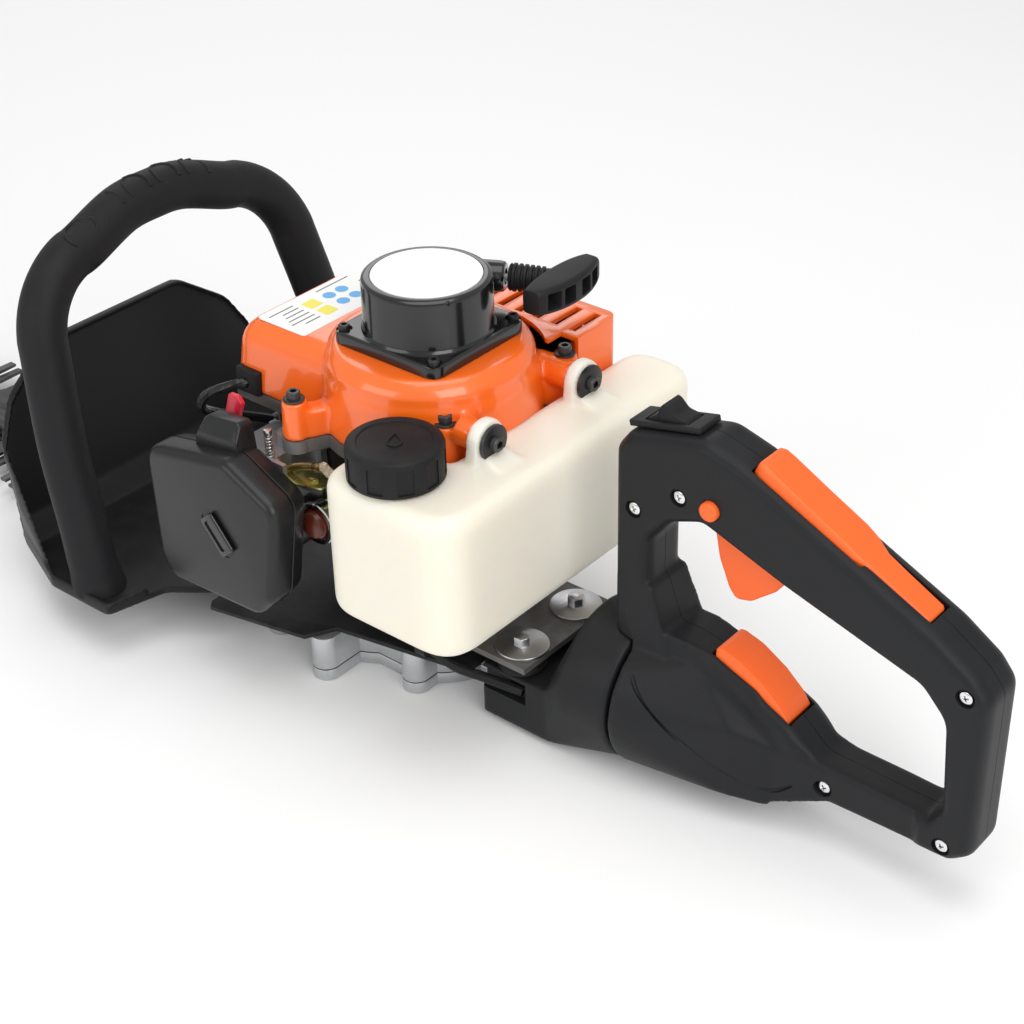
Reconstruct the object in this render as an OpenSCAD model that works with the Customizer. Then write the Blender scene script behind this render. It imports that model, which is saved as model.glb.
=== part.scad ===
// Petrol hedge trimmer with a double-sided reciprocating blade, in millimetres.
// +X points along the blades, +Y to the machine's left, +Z up. The origin is on the
// underside of the gearbox cover, on the crankshaft axis.

/* [Blades] */
// Where the first tooth gap begins, ahead of the crankshaft
cut_start = 112; // [100:1:140]
// Cutting length of the blades
cut_length = 714; // [340:34:952]
// Distance between teeth
tooth_pitch = 34; // [28:1:40]
// Tooth tip distance from the blade centre line
tooth_reach = 59; // [45:1:70]
// Half width of the blade's spine
spine_half = 18; // [14:1:24]
// Thickness of each blade
blade_t = 2.5; // [2:0.1:3]
// Gap between sliding blades
blade_gap = 0.3; // [0.3:0.1:0.6]
// Half of the blade stroke
stroke = 8; // [5:1:10]
// Thickness of the guide bar over the blades
guide_t = 4; // [3:0.5:6]
// Radius of the bolts through the blades
blade_bolt_r = 3; // [2.5:0.5:4]

/* [Gearbox] */
// Thickness of the lower gearbox cover
gear_cover_t = 8; // [6:1:12]
// Gasket thickness
gasket_t = 0.8; // [0.5:0.1:1.5]
// Height of the gearbox housing's top
gearbox_top = 32; // [30:1:38]
// Gear tooth module
gear_module = 1.5; // [1.5:0.5:2]
// Teeth on the cam gear
cam_teeth = 54; // [48:2:60]
// Teeth on the drive pinion
pinion_teeth = 12; // [10:2:16]
// Radius of the eccentrics
eccentric_r = 14; // [10:1:16]
// Radius of the cam gear's shaft
cam_shaft_r = 5; // [4:0.5:6]

/* [Engine] */
// Thickness of the base plate
plate_t = 3; // [2:0.5:5]
// Outer radius of the crankcase
crankcase_r = 52; // [48:1:56]
// Height of the cylinder's axis
cylinder_z = 128; // [120:1:134]
// Piston radius
piston_r = 17; // [14:0.5:20]
// Crank throw, half of the piston stroke
crank_throw = 14; // [10:1:16]
// Connecting rod length between its eyes
rod_length = 56; // [52:1:62]
// Radius of the crankshaft
crank_r = 6; // [5:0.5:8]
// Radius of the flywheel fan
fan_r = 60; // [50:1:61]
// Half width of the square cylinder fins
fin_half = 36; // [32:1:40]

/* [Engine cover] */
// Radius of the cover round the fan
cover_r = 67; // [66:1:68]
// Cover half width at the front
cover_half = 52; // [48:1:60]
// Front face of the cover
cover_front = 118; // [112:1:130]
// Lower edge of the cover
cover_bottom = 178; // [174:1:182]
// Top of the cover's front part
cover_top = 222; // [214:1:226]
// Cover wall
cover_wall = 3; // [2:0.5:4]

/* [Starter] */
// Outer radius of the starter housing
starter_r = 38.6; // [38.5:0.5:46]
// Half side of the starter's square flange
flange_half = 41.2; // [41:0.5:50]
// Underside of the flange
flange_z = 226.5; // [224:0.5:230]
// Thickness of the flange
flange_t = 8; // [5:0.5:10]
// Top of the starter housing
starter_top = 267; // [258:1:275]
// Distance from the starter's axis to the rope
rope_line = 33; // [28:0.5:33]
// Direction in which the rope is pulled, from +X
pull_angle = 208; // [190:1:230]
// Rope radius
rope_r = 1.75; // [1.5:0.25:2]
// Width of the pull grip
pull_width = 60; // [50:1:70]

/* [Fuel tank] */
// Rear face of the tank
tank_rear = -110; // [-118:1:-104]
// Front face of the tank's middle
tank_front = -60; // [-66:1:-58]
// Front face of the tank's left end
tank_left_front = -10; // [-20:1:-6]
// Left face of the tank
tank_left = 113; // [106:1:120]
// Right face of the tank
tank_right = -122; // [-130:1:-110]
// Inner face of the tank's left end
tank_step = 52; // [46:1:58]
// Underside of the tank
tank_bottom = 97; // [92:1:100]
// Top of the tank
tank_top = 189; // [180:1:190]
// Tank wall
tank_wall = 2.5; // [2:0.5:4]
// Radius of the tank's corners
tank_corner = 20; // [10:1:22]
// Fuel cap radius
cap_r = 28.2; // [27:0.2:30]
// Top of the fuel cap
cap_top = 212; // [208:1:218]
// Inner radius of the tank's neck
neck_r = 20; // [16:1:20]

/* [Air filter] */
// Face of the filter cover
filter_face = 116; // [112:1:122]
// Seam between the filter cover and its case
filter_seam = 98; // [96:1:100]
// Back of the filter case
filter_back = 85; // [82:1:87]
// Filter wall
filter_wall = 2.4; // [2:0.2:3]

/* [Front handle and guard] */
// Radius of the handle tube
tube_r = 15.5; // [12:0.5:17]
// Half width of the handle at its feet
foot_half = 124; // [115:1:130]
// Half width of the handle at its shoulders
shoulder_half = 110; // [100:1:118]
// Height of the handle's top centre line
handle_top = 252; // [230:1:254]
// Forward position of the handle's feet
foot_x = 178; // [170:1:190]
// Bend radius of the handle's shoulders
bend_r = 57; // [40:1:65]
// Forward lean of the handle and guard, per unit of height
lean = 0.25; // [0.15:0.01:0.3]
// Guard sheet thickness
guard_t = 3.5; // [3:0.5:5]
// Top edge of the guard
guard_top = 152; // [130:1:165]
// Forward position of the guard panel's base
guard_x = 268; // [250:1:280]

/* [Rear handle] */
// Height of the swivel axis
swivel_z = 47; // [47:0.5:50]
// Radius of the swivel's flange
swivel_r = 46.5; // [40:0.5:46.5]
// Rear face of the hub bracket
swivel_x = -165; // [-170:1:-160]
// Gap at the swivel
swivel_gap = 1.6; // [1:0.1:3]
// Radius of the swivel's spigot
spigot_r = 18; // [14:0.5:22]
// Half width of the grip
grip_half = 18; // [16:0.5:20]
// Half width of the lower bar
bar_half = 14; // [12:0.5:17]
// Wall of the handle shells
handle_wall = 3; // [2.5:0.5:4]
// Rear end of the handle
handle_rear = -386; // [-395:1:-380]

/* [Clearances] */
// Radial clearance of running shafts
run_gap = 0.05; // [0.02:0.01:0.1]
// Clearance between parts that move past each other
move_gap = 0.6; // [0.4:0.1:1]

/* [Hidden] */
$fn = 48;

lower_blade_z = gear_cover_t + gasket_t + 0.9;
upper_blade_z = lower_blade_z + blade_t + blade_gap;
guide_z = upper_blade_z + blade_t + blade_gap;
gear_z = guide_z + guide_t + 0.8;
gear_t = 5.6;
plate_z = gearbox_top;
cam_x = gear_module * (cam_teeth + pinion_teeth) / 2 + 0.15;
eye_r = eccentric_r + 2 * stroke + move_gap;
eye_ring_r = eye_r + 6;
root_half = eye_ring_r + move_gap;
drum_z = plate_z + plate_t + 2;
drum_r = 28;
drum_h = 19;
clutch_wall_r = 38;
case_floor = 62;
case_top = cover_bottom - 8;
rim_r = cover_r + 1;
web_r = 24;
web_t = 10;
web_gap = 20;
guide_start = 96;
blade_end = cut_start + cut_length;
bolt_count = 6;
bolt_step = (cut_length - 60) / (bolt_count - 1);
gear_bolts = [[-50, 0], [-14, 42], [-14, -42], [40, 67], [40, -67], [98, 50], [98, -50]];
pull_dir = [cos(pull_angle), sin(pull_angle), 0];
pull_normal = [-sin(pull_angle), cos(pull_angle), 0];
rope_z = 252;
cap_x = -48;
cap_y = 84;
lug_x = -74;
lug_z = 200;
lug_y = [38, -50];
cover_posts = [[41, 74, 202], [-48, 42, 203], [-57, -56, 209]];
filter_outline = [[134, 150], [129, 160], [62, 171.5], [21, 151], [32, 83], [46, 68], [123, 65], [131, 82]];
knob_at = [71, 118.6];
choke_at = [100, 152];
primer_at = [30, 121];
muffler_rear = -32;
carrier_z = 51;
carrier_t = 4;
av_x = -88;
av_y = [-26, 26];
carb_x = 75;
carb_z = 140;
slope = 56 / 120;
grip_angle = atan(slope);
trigger_pivot = [-227, 196];
lockout_pivot = [-336, 172];
latch_pivot = [-262, 68];
switch_at = [-178, 229];
switch_tilt = 13;
button_at = [-214.4, 197];
handle_front = swivel_x - swivel_gap;
post_front = -149;

// Rounded rectangle from x0, y0 to x1, y1
module rrect(x0, y0, x1, y1, r) {
    translate([x0 + r, y0]) square([x1 - x0 - 2 * r, y1 - y0]);
    translate([x0, y0 + r]) square([x1 - x0, y1 - y0 - 2 * r]);
    for (x = [x0 + r, x1 - r], y = [y0 + r, y1 - r]) translate([x, y]) circle(r);
}

// Extrudes an outline drawn in X and Z from y0 to y1
module side(y0, y1) {
    translate([0, y1, 0]) rotate([90, 0, 0]) linear_extrude(y1 - y0) children();
}

module rod_y(r, y0, y1, x, z) {
    translate([x, y1, z]) rotate([90, 0, 0]) cylinder(r = r, h = y1 - y0);
}

module rod_x(r, x0, x1, y, z) {
    translate([x0, y, z]) rotate([0, 90, 0]) cylinder(r = r, h = x1 - x0);
}

// Places children at distance s along the rope's line
module on_rope(s) {
    translate(rope_line * pull_normal + s * pull_dir + [0, 0, rope_z])
        rotate([0, 0, pull_angle]) rotate([0, 90, 0]) children();
}

function unit(v) = v / norm(v);
function tangent(p, i) = unit(p[min(i + 1, len(p) - 1)] - p[max(i - 1, 0)]);
function ring(c, t, ref, r, sides) = let (a = unit(cross(t, ref)), b = cross(a, t))
    [for (k = [0:sides - 1]) c + r * (cos(360 * k / sides) * a + sin(360 * k / sides) * b)];

// Round tube along points, with ref a direction never along the path
module sweep(p, r, sides, ref) {
    n = len(p);
    points = [for (i = [0:n - 1]) each ring(p[i], tangent(p, i), ref, r, sides)];
    walls = [for (i = [0:n - 2], k = [0:sides - 1])
        [i * sides + k, i * sides + (k + 1) % sides,
         (i + 1) * sides + (k + 1) % sides, (i + 1) * sides + k]];
    first = [[for (k = [sides - 1:-1:0]) k]];
    last = [[for (k = [0:sides - 1]) (n - 1) * sides + k]];
    polyhedron(points = points, faces = concat(walls, first, last), convexity = 6);
}

// Smooth path through p with steps points on each span
function spline_at(a, b, c, d, t) = 0.5 * (2 * b + (c - a) * t
    + (2 * a - 5 * b + 4 * c - d) * t * t + (3 * b - a - 3 * c + d) * t * t * t);
function smooth(p, steps) = let (n = len(p)) concat(
    [for (i = [0:n - 2], k = [0:steps - 1])
        spline_at(p[max(i - 1, 0)], p[i], p[i + 1], p[min(i + 2, n - 1)], k / steps)], [p[n - 1]]);

// Spur gear outline with involute flanks thinned by play
function inv_point(rb, a) = rb * [cos(a) + a * PI / 180 * sin(a), sin(a) - a * PI / 180 * cos(a)];
function turned(p, a) = [p[0] * cos(a) - p[1] * sin(a), p[0] * sin(a) + p[1] * cos(a)];
module gear_outline(teeth, play) {
    rp = gear_module * teeth / 2;
    rb = rp * cos(20);
    ra = rp + 0.9 * gear_module;
    rr = rp - 1.2 * gear_module;
    half = 90 / teeth - play / rp * 90 / PI;
    lead = half + (tan(20) * 180 / PI - 20);
    end = sqrt(ra * ra / rb / rb - 1) * 180 / PI;
    flank = [for (k = [0:4]) turned(inv_point(rb, end * k / 4), -lead)];
    back = [for (k = [4:-1:0]) [flank[k][0], -flank[k][1]]];
    circle(rr, $fn = teeth * 2);
    for (i = [0:teeth - 1])
        rotate(i * 360 / teeth) polygon(concat([[0, 0]], flank, back));
}

module slot(half_length, r) {
    square([2 * half_length, 2 * r], center = true);
    for (x = [-half_length, half_length]) translate([x, 0]) circle(r);
}

module gearbox_outline(inset) {
    circle(40 - inset);
    translate([cam_x, 0]) circle(cam_x - inset);
    translate([0, -40 + inset]) square([cam_x, 80 - 2 * inset]);
    translate([cam_x, -root_half - 8 + inset]) square([110 - cam_x - inset, 2 * (root_half + 8 - inset)]);
}

module gearbox_ears() {
    for (p = gear_bolts) translate(p) circle(9);
    translate([-50, -9]) square([30, 18]);
    for (s = [-1, 1]) {
        translate([31, s > 0 ? 0 : -67]) square([18, 67]);
        translate([-23, s > 0 ? 0 : -42]) square([18, 42]);
    }
}

module gear_bolt_holes(r) {
    for (p = gear_bolts) translate(p) circle(r);
}

module base_plate() {
    color([0.12, 0.12, 0.13])
    translate([0, 0, plate_z]) linear_extrude(plate_t) difference() {
        union() {
            polygon([[-60, 45], [-60, -45], [34, -62], [44, -81], [114, -95], [118, -90], [118, 90], [114, 95],
                     [44, 81], [34, 62]]);
            circle(clutch_wall_r + 14);
        }
        circle(drum_r - 4);
    }
}

module gearbox_housing() {
    color([0.72, 0.73, 0.74])
    difference() {
        union() {
            translate([0, 0, gear_cover_t + gasket_t])
                linear_extrude(gearbox_top - gear_cover_t - gasket_t) {
                    gearbox_outline(0);
                    gearbox_ears();
                }
            translate([-70, -24, gearbox_top - 6]) cube([40, 48, 6]);
        }
        // Room for the gears, over the blades
        translate([0, 0, gear_z - 1.2]) linear_extrude(gear_t + 2.2) {
            translate([cam_x, 0]) circle(gear_module * cam_teeth / 2 + 3);
            circle(gear_module * pinion_teeth / 2 + 3);
        }
        // Room for the blade roots and the guide bar
        translate([0, 0, gear_cover_t]) linear_extrude(guide_z + guide_t + 0.3 - gear_cover_t) {
            translate([cam_x, 0]) circle(root_half + stroke);
            translate([cam_x, -root_half]) square([80, 2 * root_half]);
        }
        translate([0, 0, gear_z]) cylinder(r = 7 + run_gap, h = 20);
        translate([cam_x, 0, gear_z]) cylinder(r = cam_shaft_r + run_gap, h = gear_t + 4);
        for (p = gear_bolts) translate([p[0], p[1], 0]) cylinder(r = 2.5, h = gearbox_top - 3);
    }
}

module gearbox_gasket() {
    color([0.15, 0.15, 0.15])
    translate([0, 0, gear_cover_t]) linear_extrude(gasket_t) difference() {
        union() {
            gearbox_outline(0);
            gearbox_ears();
        }
        translate([cam_x, 0]) circle(root_half + stroke);
        translate([cam_x, -root_half]) square([80, 2 * root_half]);
        gear_bolt_holes(2.8);
    }
}

module gearbox_cover() {
    color([0.7, 0.71, 0.72])
    difference() {
        linear_extrude(gear_cover_t) {
            gearbox_outline(0);
            gearbox_ears();
        }
        translate([cam_x, 0, 2.5]) cylinder(r = cam_shaft_r + run_gap, h = 20);
        for (p = gear_bolts) translate([p[0], p[1], -1]) {
            cylinder(r = 2.8, h = 20);
            cylinder(r = 5, h = 5);
        }
    }
}

// Socket screws in the gearbox cover, sunk below its face
module cover_bolts() {
    color([0.6, 0.6, 0.62])
    for (p = gear_bolts) translate([p[0], p[1], 0]) difference() {
        union() {
            translate([0, 0, 0.5]) cylinder(r = 4.4, h = 3.5);
            cylinder(r = 2.5, h = gearbox_top - 6);
        }
        translate([0, 0, -0.1]) cylinder(r = 2.3, h = 2.5, $fn = 6);
    }
}

module bolt_places() {
    for (i = [0:bolt_count - 1]) translate([cut_start + 24 + i * bolt_step, 0, 0]) children();
}

module guide_bar() {
    color([0.16, 0.16, 0.17])
    translate([0, 0, guide_z]) linear_extrude(guide_t) difference() {
        union() {
            translate([guide_start, -spine_half + 3]) square([blade_end - guide_start - 12, 2 * spine_half - 6]);
            translate([blade_end - 12, 0]) circle(spine_half - 3);
        }
        bolt_places() circle(blade_bolt_r);
    }
}

module blade_bolts() {
    color([0.2, 0.2, 0.21])
    bolt_places() {
        translate([0, 0, lower_blade_z - 3.2]) cylinder(r = 2 * blade_bolt_r, h = 2.8);
        translate([0, 0, lower_blade_z - 3.2]) cylinder(r = blade_bolt_r, h = 11 + guide_t);
        translate([0, 0, guide_z + guide_t]) cylinder(r = 2 * blade_bolt_r, h = 3.5, $fn = 6);
    }
}

module blade_outline(shift) {
    count = floor(cut_length / tooth_pitch);
    difference() {
        union() {
            translate([cam_x, 0]) circle(eye_ring_r);
            translate([cam_x, -spine_half - 10]) square([cut_start - cam_x - 10, 2 * spine_half + 20]);
            translate([cut_start - 12, -spine_half]) square([cut_length + 2, 2 * spine_half]);
            translate([blade_end - 10, 0]) circle(spine_half);
            // Each tooth is one piece with the tooth opposite
            for (i = [0:count - 1])
                translate([cut_start + 8 + (i + 0.35 + shift) * tooth_pitch, 0])
                    polygon([[-4, spine_half + 10], [-11, spine_half - 1], [-11, 1 - spine_half],
                             [-4, -spine_half - 10], [-3, -tooth_reach], [3, -tooth_reach],
                             [5, -spine_half - 10], [11, 1 - spine_half], [11, spine_half - 1],
                             [5, spine_half + 10], [3, tooth_reach], [-3, tooth_reach]]);
        }
        translate([cam_x, 0]) circle(eye_r);
        bolt_places() slot(stroke + move_gap, blade_bolt_r + run_gap);
    }
}

module upper_blade() {
    color([0.2, 0.2, 0.21])
    translate([0, 0, upper_blade_z]) linear_extrude(blade_t) blade_outline(0.12);
}

module lower_blade() {
    color([0.18, 0.18, 0.19])
    translate([0, 0, lower_blade_z]) linear_extrude(blade_t) blade_outline(-0.12);
}

module cam_gear() {
    color([0.5, 0.5, 0.52])
    difference() {
        union() {
            translate([cam_x, 0, gear_z]) rotate(180 / cam_teeth) linear_extrude(gear_t)
                gear_outline(cam_teeth, 0.2);
            translate([cam_x, 0, 3]) cylinder(r = cam_shaft_r, h = gear_z + gear_t);
            translate([cam_x + stroke, 0, upper_blade_z + 0.2]) cylinder(r = eccentric_r, h = blade_t - 0.4);
            translate([cam_x, 0, upper_blade_z + 0.2]) cylinder(r = cam_shaft_r + 4, h = gear_z - upper_blade_z);
            translate([cam_x - stroke, 0, lower_blade_z + 0.2]) cylinder(r = eccentric_r, h = blade_t - 0.4);
            translate([cam_x, 0, lower_blade_z + 0.2]) cylinder(r = cam_shaft_r + 4, h = 4);
        }
        for (a = [30:60:330]) translate([cam_x, 0, gear_z - 1]) rotate(a) translate([26, 0, 0])
            cylinder(r = 6, h = gear_t + 2);
    }
}

module clutch_drum() {
    color([0.45, 0.45, 0.47])
    difference() {
        union() {
            translate([0, 0, gear_z]) linear_extrude(gear_t) gear_outline(pinion_teeth, 0.2);
            translate([0, 0, gear_z + 1]) cylinder(r = 7, h = drum_z - gear_z);
            translate([0, 0, drum_z]) cylinder(r = drum_r, h = drum_h);
        }
        translate([0, 0, drum_z + 3]) cylinder(r = drum_r - 2.5, h = drum_h);
    }
}

// Two curved weights that fly out against the drum
module clutch_shoes() {
    color([0.4, 0.38, 0.36])
    translate([0, 0, drum_z + 4.5]) linear_extrude(drum_h - 7) difference() {
        circle(drum_r - 3.5);
        circle(11.4);
        square([100, 4], center = true);
    }
}

// Upper and lower halves with their webs; the crank pin stays with the rod
module crankshaft() {
    color([0.62, 0.62, 0.64]) {
        translate([0, 0, drum_z + 4.5]) cylinder(r = 11, h = drum_h - 7);
        translate([0, 0, drum_z + 10]) cylinder(r = crank_r, h = cylinder_z - web_gap / 2 - drum_z - 12);
        translate([0, 0, cylinder_z - web_gap / 2 - web_t]) cylinder(r = web_r, h = web_t);
        translate([0, 0, cylinder_z + web_gap / 2]) cylinder(r = web_r, h = web_t);
        translate([0, 0, cylinder_z + web_gap / 2]) cylinder(r = crank_r, h = 214 - cylinder_z);
        translate([0, 0, 206]) cylinder(r = 14, h = 14);
    }
}

module connecting_rod() {
    big = crank_throw;
    small = crank_throw + rod_length;
    color([0.66, 0.66, 0.68])
    difference() {
        union() {
            translate([big, 0, cylinder_z - 5]) cylinder(r = 9, h = 10);
            translate([small, 0, cylinder_z - 5]) cylinder(r = 8, h = 10);
            translate([big, -3.5, cylinder_z - 4]) cube([rod_length, 7, 8]);
            translate([big, 0, cylinder_z - web_gap / 2 + 0.5]) cylinder(r = 5, h = web_gap - 1);
        }
        translate([small, 0, cylinder_z - 10]) cylinder(r = 4 + run_gap, h = 20);
    }
}

module piston() {
    pin = crank_throw + rod_length;
    color([0.75, 0.75, 0.77])
    difference() {
        rod_x(piston_r, pin - 12, pin + 18, 0, cylinder_z);
        difference() {
            rod_x(piston_r - 3, pin - 13, pin + 14, 0, cylinder_z);
            translate([pin, 0, cylinder_z - 30]) cylinder(r = 4, h = 60);
        }
        for (x = [pin + 12, pin + 15]) translate([x, 0, cylinder_z]) rotate([0, 90, 0]) difference() {
            cylinder(r = piston_r + 1, h = 1.2);
            translate([0, 0, -1]) cylinder(r = piston_r - 1, h = 4);
        }
    }
}

// Arm out to one of the cover's screws, in plan
module post_arm(p, r) {
    translate([p[0], p[1]]) circle(r);
    rotate(atan2(p[1], p[0])) translate([0, -r + 1]) square([norm([p[0], p[1]]), 2 * r - 2]);
}

module crankcase() {
    neck_end = 48;
    color([0.28, 0.28, 0.28])
    difference() {
        union() {
            translate([0, 0, plate_z + plate_t]) cylinder(r = clutch_wall_r, h = case_floor - plate_z - plate_t);
            translate([0, 0, case_floor]) cylinder(r = crankcase_r, h = case_top - case_floor);
            translate([0, 0, case_top]) cylinder(r = rim_r, h = cover_bottom - case_top);
            translate([0, 0, case_top]) linear_extrude(cover_bottom - case_top) {
                translate([0, -cover_half]) square([cover_front - 3, 2 * cover_half]);
                for (p = cover_posts) post_arm(p, 9);
            }
            rod_x(26, 0, neck_end, 0, cylinder_z);
            // Carrier that rests on the rubber buffers
            translate([-104, -44, carrier_z]) cube([74, 88, carrier_t]);
            translate([-60, -30, carrier_z]) cube([40, 60, 20]);
        }
        translate([0, 0, 0]) cylinder(r = drum_r + move_gap + 1, h = drum_z + drum_h + 3);
        translate([0, 0, cylinder_z - web_gap / 2 - web_t - move_gap])
            cylinder(r = 33, h = web_gap + 2 * web_t + 2 * move_gap);
        translate([0, 0, 10]) cylinder(r = crank_r + run_gap, h = 200);
        rod_x(piston_r + 1, 0, neck_end + 12, 0, cylinder_z);
        translate([neck_end, -26, cylinder_z - 26]) cube([20, 52, 52]);
        for (p = cover_posts) translate([p[0], p[1], 150]) cylinder(r = 2, h = 40);
        for (y = av_y) translate([av_x, y, 30]) cylinder(r = 3, h = 40);
    }
}

module cylinder_block() {
    start = 48;
    end = crank_throw + rod_length + 20;
    color([0.6, 0.6, 0.61])
    difference() {
        union() {
            rod_x(24, start, end + 8, 0, cylinder_z);
            for (x = [start + 6:6:end + 10]) translate([x, -fin_half, cylinder_z - fin_half])
                cube([2, 2 * fin_half, 2 * fin_half]);
            translate([carb_x - 14, 0, cylinder_z - 4]) cube([28, fin_half + 4, 28]);
            translate([carb_x - 12, -fin_half - 10, cylinder_z - 12]) cube([24, fin_half + 10, 24]);
        }
        rod_x(piston_r + run_gap, start - 1, end, 0, cylinder_z);
        rod_x(4.95, end - 1, end + 30, 0, cylinder_z);
        rod_y(8, 10, fin_half + 10, carb_x, carb_z);
        rod_y(8, -fin_half - 20, -10, carb_x, cylinder_z);
    }
}

module flywheel_fan() {
    color([0.3, 0.3, 0.31])
    difference() {
        union() {
            translate([0, 0, 186]) cylinder(r = fan_r - 6, h = 5);
            translate([0, 0, 182]) cylinder(r = 16, h = 20);
            for (a = [0:24:336]) rotate(a) translate([24, -1.2, 189]) cube([fan_r - 24, 2.4, 12]);
        }
        translate([0, 0, 180]) cylinder(r = crank_r, h = 30);
        for (a = [12:120:252]) rotate(a) translate([20, 0, 180]) cylinder(r = 3, h = 20);
    }
}

module ignition_coil() {
    color([0.13, 0.13, 0.14]) {
        translate([fan_r + 4, -18, 184]) cube([6, 36, 14]);
        translate([fan_r + 10, -14, 182]) cube([24, 28, 18]);
        translate([fan_r + 22, -10, case_top + 8]) cube([8, 20, 8]);
    }
}

module spark_plug() {
    head = crank_throw + rod_length + 28;
    color([0.9, 0.9, 0.88]) {
        rod_x(4.9, head - 9, head, 0, cylinder_z);
        translate([head, 0, cylinder_z]) rotate([0, 90, 0]) cylinder(r = 9, h = 7, $fn = 6);
        rod_x(5, head + 7, head + 26, 0, cylinder_z);
    }
}

// Route of the ignition lead from the coil, out under the cover and round to the plug
lead_route = [[91, 14.9, 190], [98, 34, 186], [103, 50, 184], [110, 60, 182], [124, 68, 175], [133, 67, 162],
              [136, 52, 150], [132, 28, 138], [126, 12, 130]];

module ignition_lead() {
    color([0.1, 0.1, 0.1]) {
        sweep(smooth(lead_route, 4), 3.2, 10, [1, 0.2, 0.1]);
        difference() {
            rod_x(9, crank_throw + rod_length + 37, crank_throw + rod_length + 62, 0, cylinder_z);
            rod_x(5, crank_throw + rod_length + 30, crank_throw + rod_length + 54, 0, cylinder_z);
        }
        translate([126, 5.5, 130]) rotate([-90, 0, 0]) cylinder(r = 5, h = 10.5);
    }
}

module muffler() {
    color([0.42, 0.41, 0.4])
    difference() {
        union() {
            translate([0, 0, 116]) linear_extrude(53) rrect(muffler_rear, -98, 62, -54, 10);
            translate([50, -96, 116]) cube([38, 42, 40]);
            translate([carb_x - 14, -54, cylinder_z - 12]) cube([28, 8, 24]);
        }
        translate([0, 0, 118]) linear_extrude(49) rrect(muffler_rear + 2, -96, 60, -56, 8);
        rod_y(8, -94, -40, carb_x, cylinder_z);
        translate([-14, -110, 154]) rotate([-90, 0, 0]) cylinder(r = 6, h = 20);
    }
}

module guard_slots() {
    for (i = [0:7]) translate([-52 + i * 14, 0, 0]) children();
}

module muffler_guard() {
    color([0.98, 0.43, 0.12])
    difference() {
        translate([0, 0, 150]) linear_extrude(66) rrect(-59.4, -106, 70, -54, 8);
        translate([0, 0, 140]) linear_extrude(73) rrect(-56.4, -103, 67, -40, 6);
        translate([49, -97, 149]) cube([40, 44, 8]);
        translate([0, 0, 140]) cylinder(r = rim_r + 1.5, h = 100);
        translate([cover_posts[2][0] - 30, cover_posts[2][1] - 10, 140]) cube([41, 60, 100]);
        guard_slots() translate([0, -98, 200]) cube([5, 26, 30]);
        guard_slots() translate([0, -110, 162]) cube([5, 20, 40]);
    }
}

module cover_outline(inset) {
    circle(cover_r - inset);
    translate([0, -cover_half + inset]) square([cover_front - inset, 2 * (cover_half - inset)]);
}

module engine_cover() {
    color([0.98, 0.43, 0.12])
    difference() {
        union() {
            translate([0, 0, cover_bottom]) linear_extrude(cover_top - cover_bottom - 6) cover_outline(0);
            translate([0, 0, cover_top - 6]) linear_extrude(6) cover_outline(5);
            translate([0, 0, cover_top - 1]) cylinder(r = 58, h = flange_z - cover_top + 1);
            for (p = cover_posts)
                translate([0, 0, cover_bottom]) linear_extrude(p[2] - cover_bottom) post_arm(p, 8);
            for (i = [0, 1]) rod_x(9, lug_x + 5, [-56, -40][i], lug_y[i], lug_z);
        }
        difference() {
            union() {
                translate([0, 0, case_top]) linear_extrude(cover_top - 8 - case_top)
                    cover_outline(cover_wall);
                translate([0, 0, case_top]) linear_extrude(cover_top - case_top - cover_wall)
                    cover_outline(cover_wall + 5);
            }
            // The wall of the well round the screw that stands inside the outline
            translate([cover_posts[1][0], cover_posts[1][1], cover_posts[1][2] - 1.6])
                cylinder(r = 9.4, h = 40);
        }
        translate(cover_posts[1]) cylinder(r = 7.2, h = 40);
        translate([0, 0, cover_top - 10]) cylinder(r = starter_r - 4, h = 30);
        for (p = cover_posts) translate([p[0], p[1], case_top]) cylinder(r = 2, h = 60);
        for (y = lug_y) rod_x(2, lug_x, -50, y, lug_z);
        for (sx = [-1, 1], sy = [-1, 1]) translate([sx * 35, sy * 35, 205]) cylinder(r = 1.6, h = 40);
        // Way out for the ignition lead
        translate([cover_front - 24, cover_half - 8, case_top]) cube([16, 20, 22]);
    }
}

module washer_screw() {
    cylinder(r = 6.5, h = 1.4);
    cylinder(r = 4, h = 6);
    translate([0, 0, -14]) cylinder(r = 2, h = 15);
}

// Washer-head screws of the engine cover and the tank's lugs
module flange_screws() {
    color([0.08, 0.08, 0.08]) {
        for (p = cover_posts) translate(p) washer_screw();
        for (y = lug_y) translate([lug_x - 5, y, lug_z]) rotate([0, -90, 0]) {
            cylinder(r = 11, h = 2.5);
            cylinder(r = 4.5, h = 6);
            translate([0, 0, -17]) cylinder(r = 2, h = 18);
        }
    }
}

module rating_label() {
    color([0.94, 0.94, 0.92])
    translate([62, -42, cover_top]) cube([44, 84, 0.4]);
}

module starter_housing() {
    color([0.05, 0.05, 0.05])
    difference() {
        union() {
            translate([0, 0, flange_z]) linear_extrude(flange_t)
                rrect(-flange_half, -flange_half, flange_half, flange_half, 9);
            translate([0, 0, flange_z]) cylinder(r = starter_r, h = starter_top - flange_z, $fn = 96);
            on_rope(14) cylinder(r = 9.5, h = 27);
        }
        difference() {
            translate([0, 0, flange_z - 1]) cylinder(r = starter_r - 2.6, h = starter_top - flange_z - 2);
            translate([0, 0, flange_z]) cylinder(r = 5, h = 60);
        }
        on_rope(4) cylinder(r = 3, h = 46);
        for (sx = [-1, 1], sy = [-1, 1]) translate([sx * 35, sy * 35, 220]) cylinder(r = 1.6, h = 30);
    }
}

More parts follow.
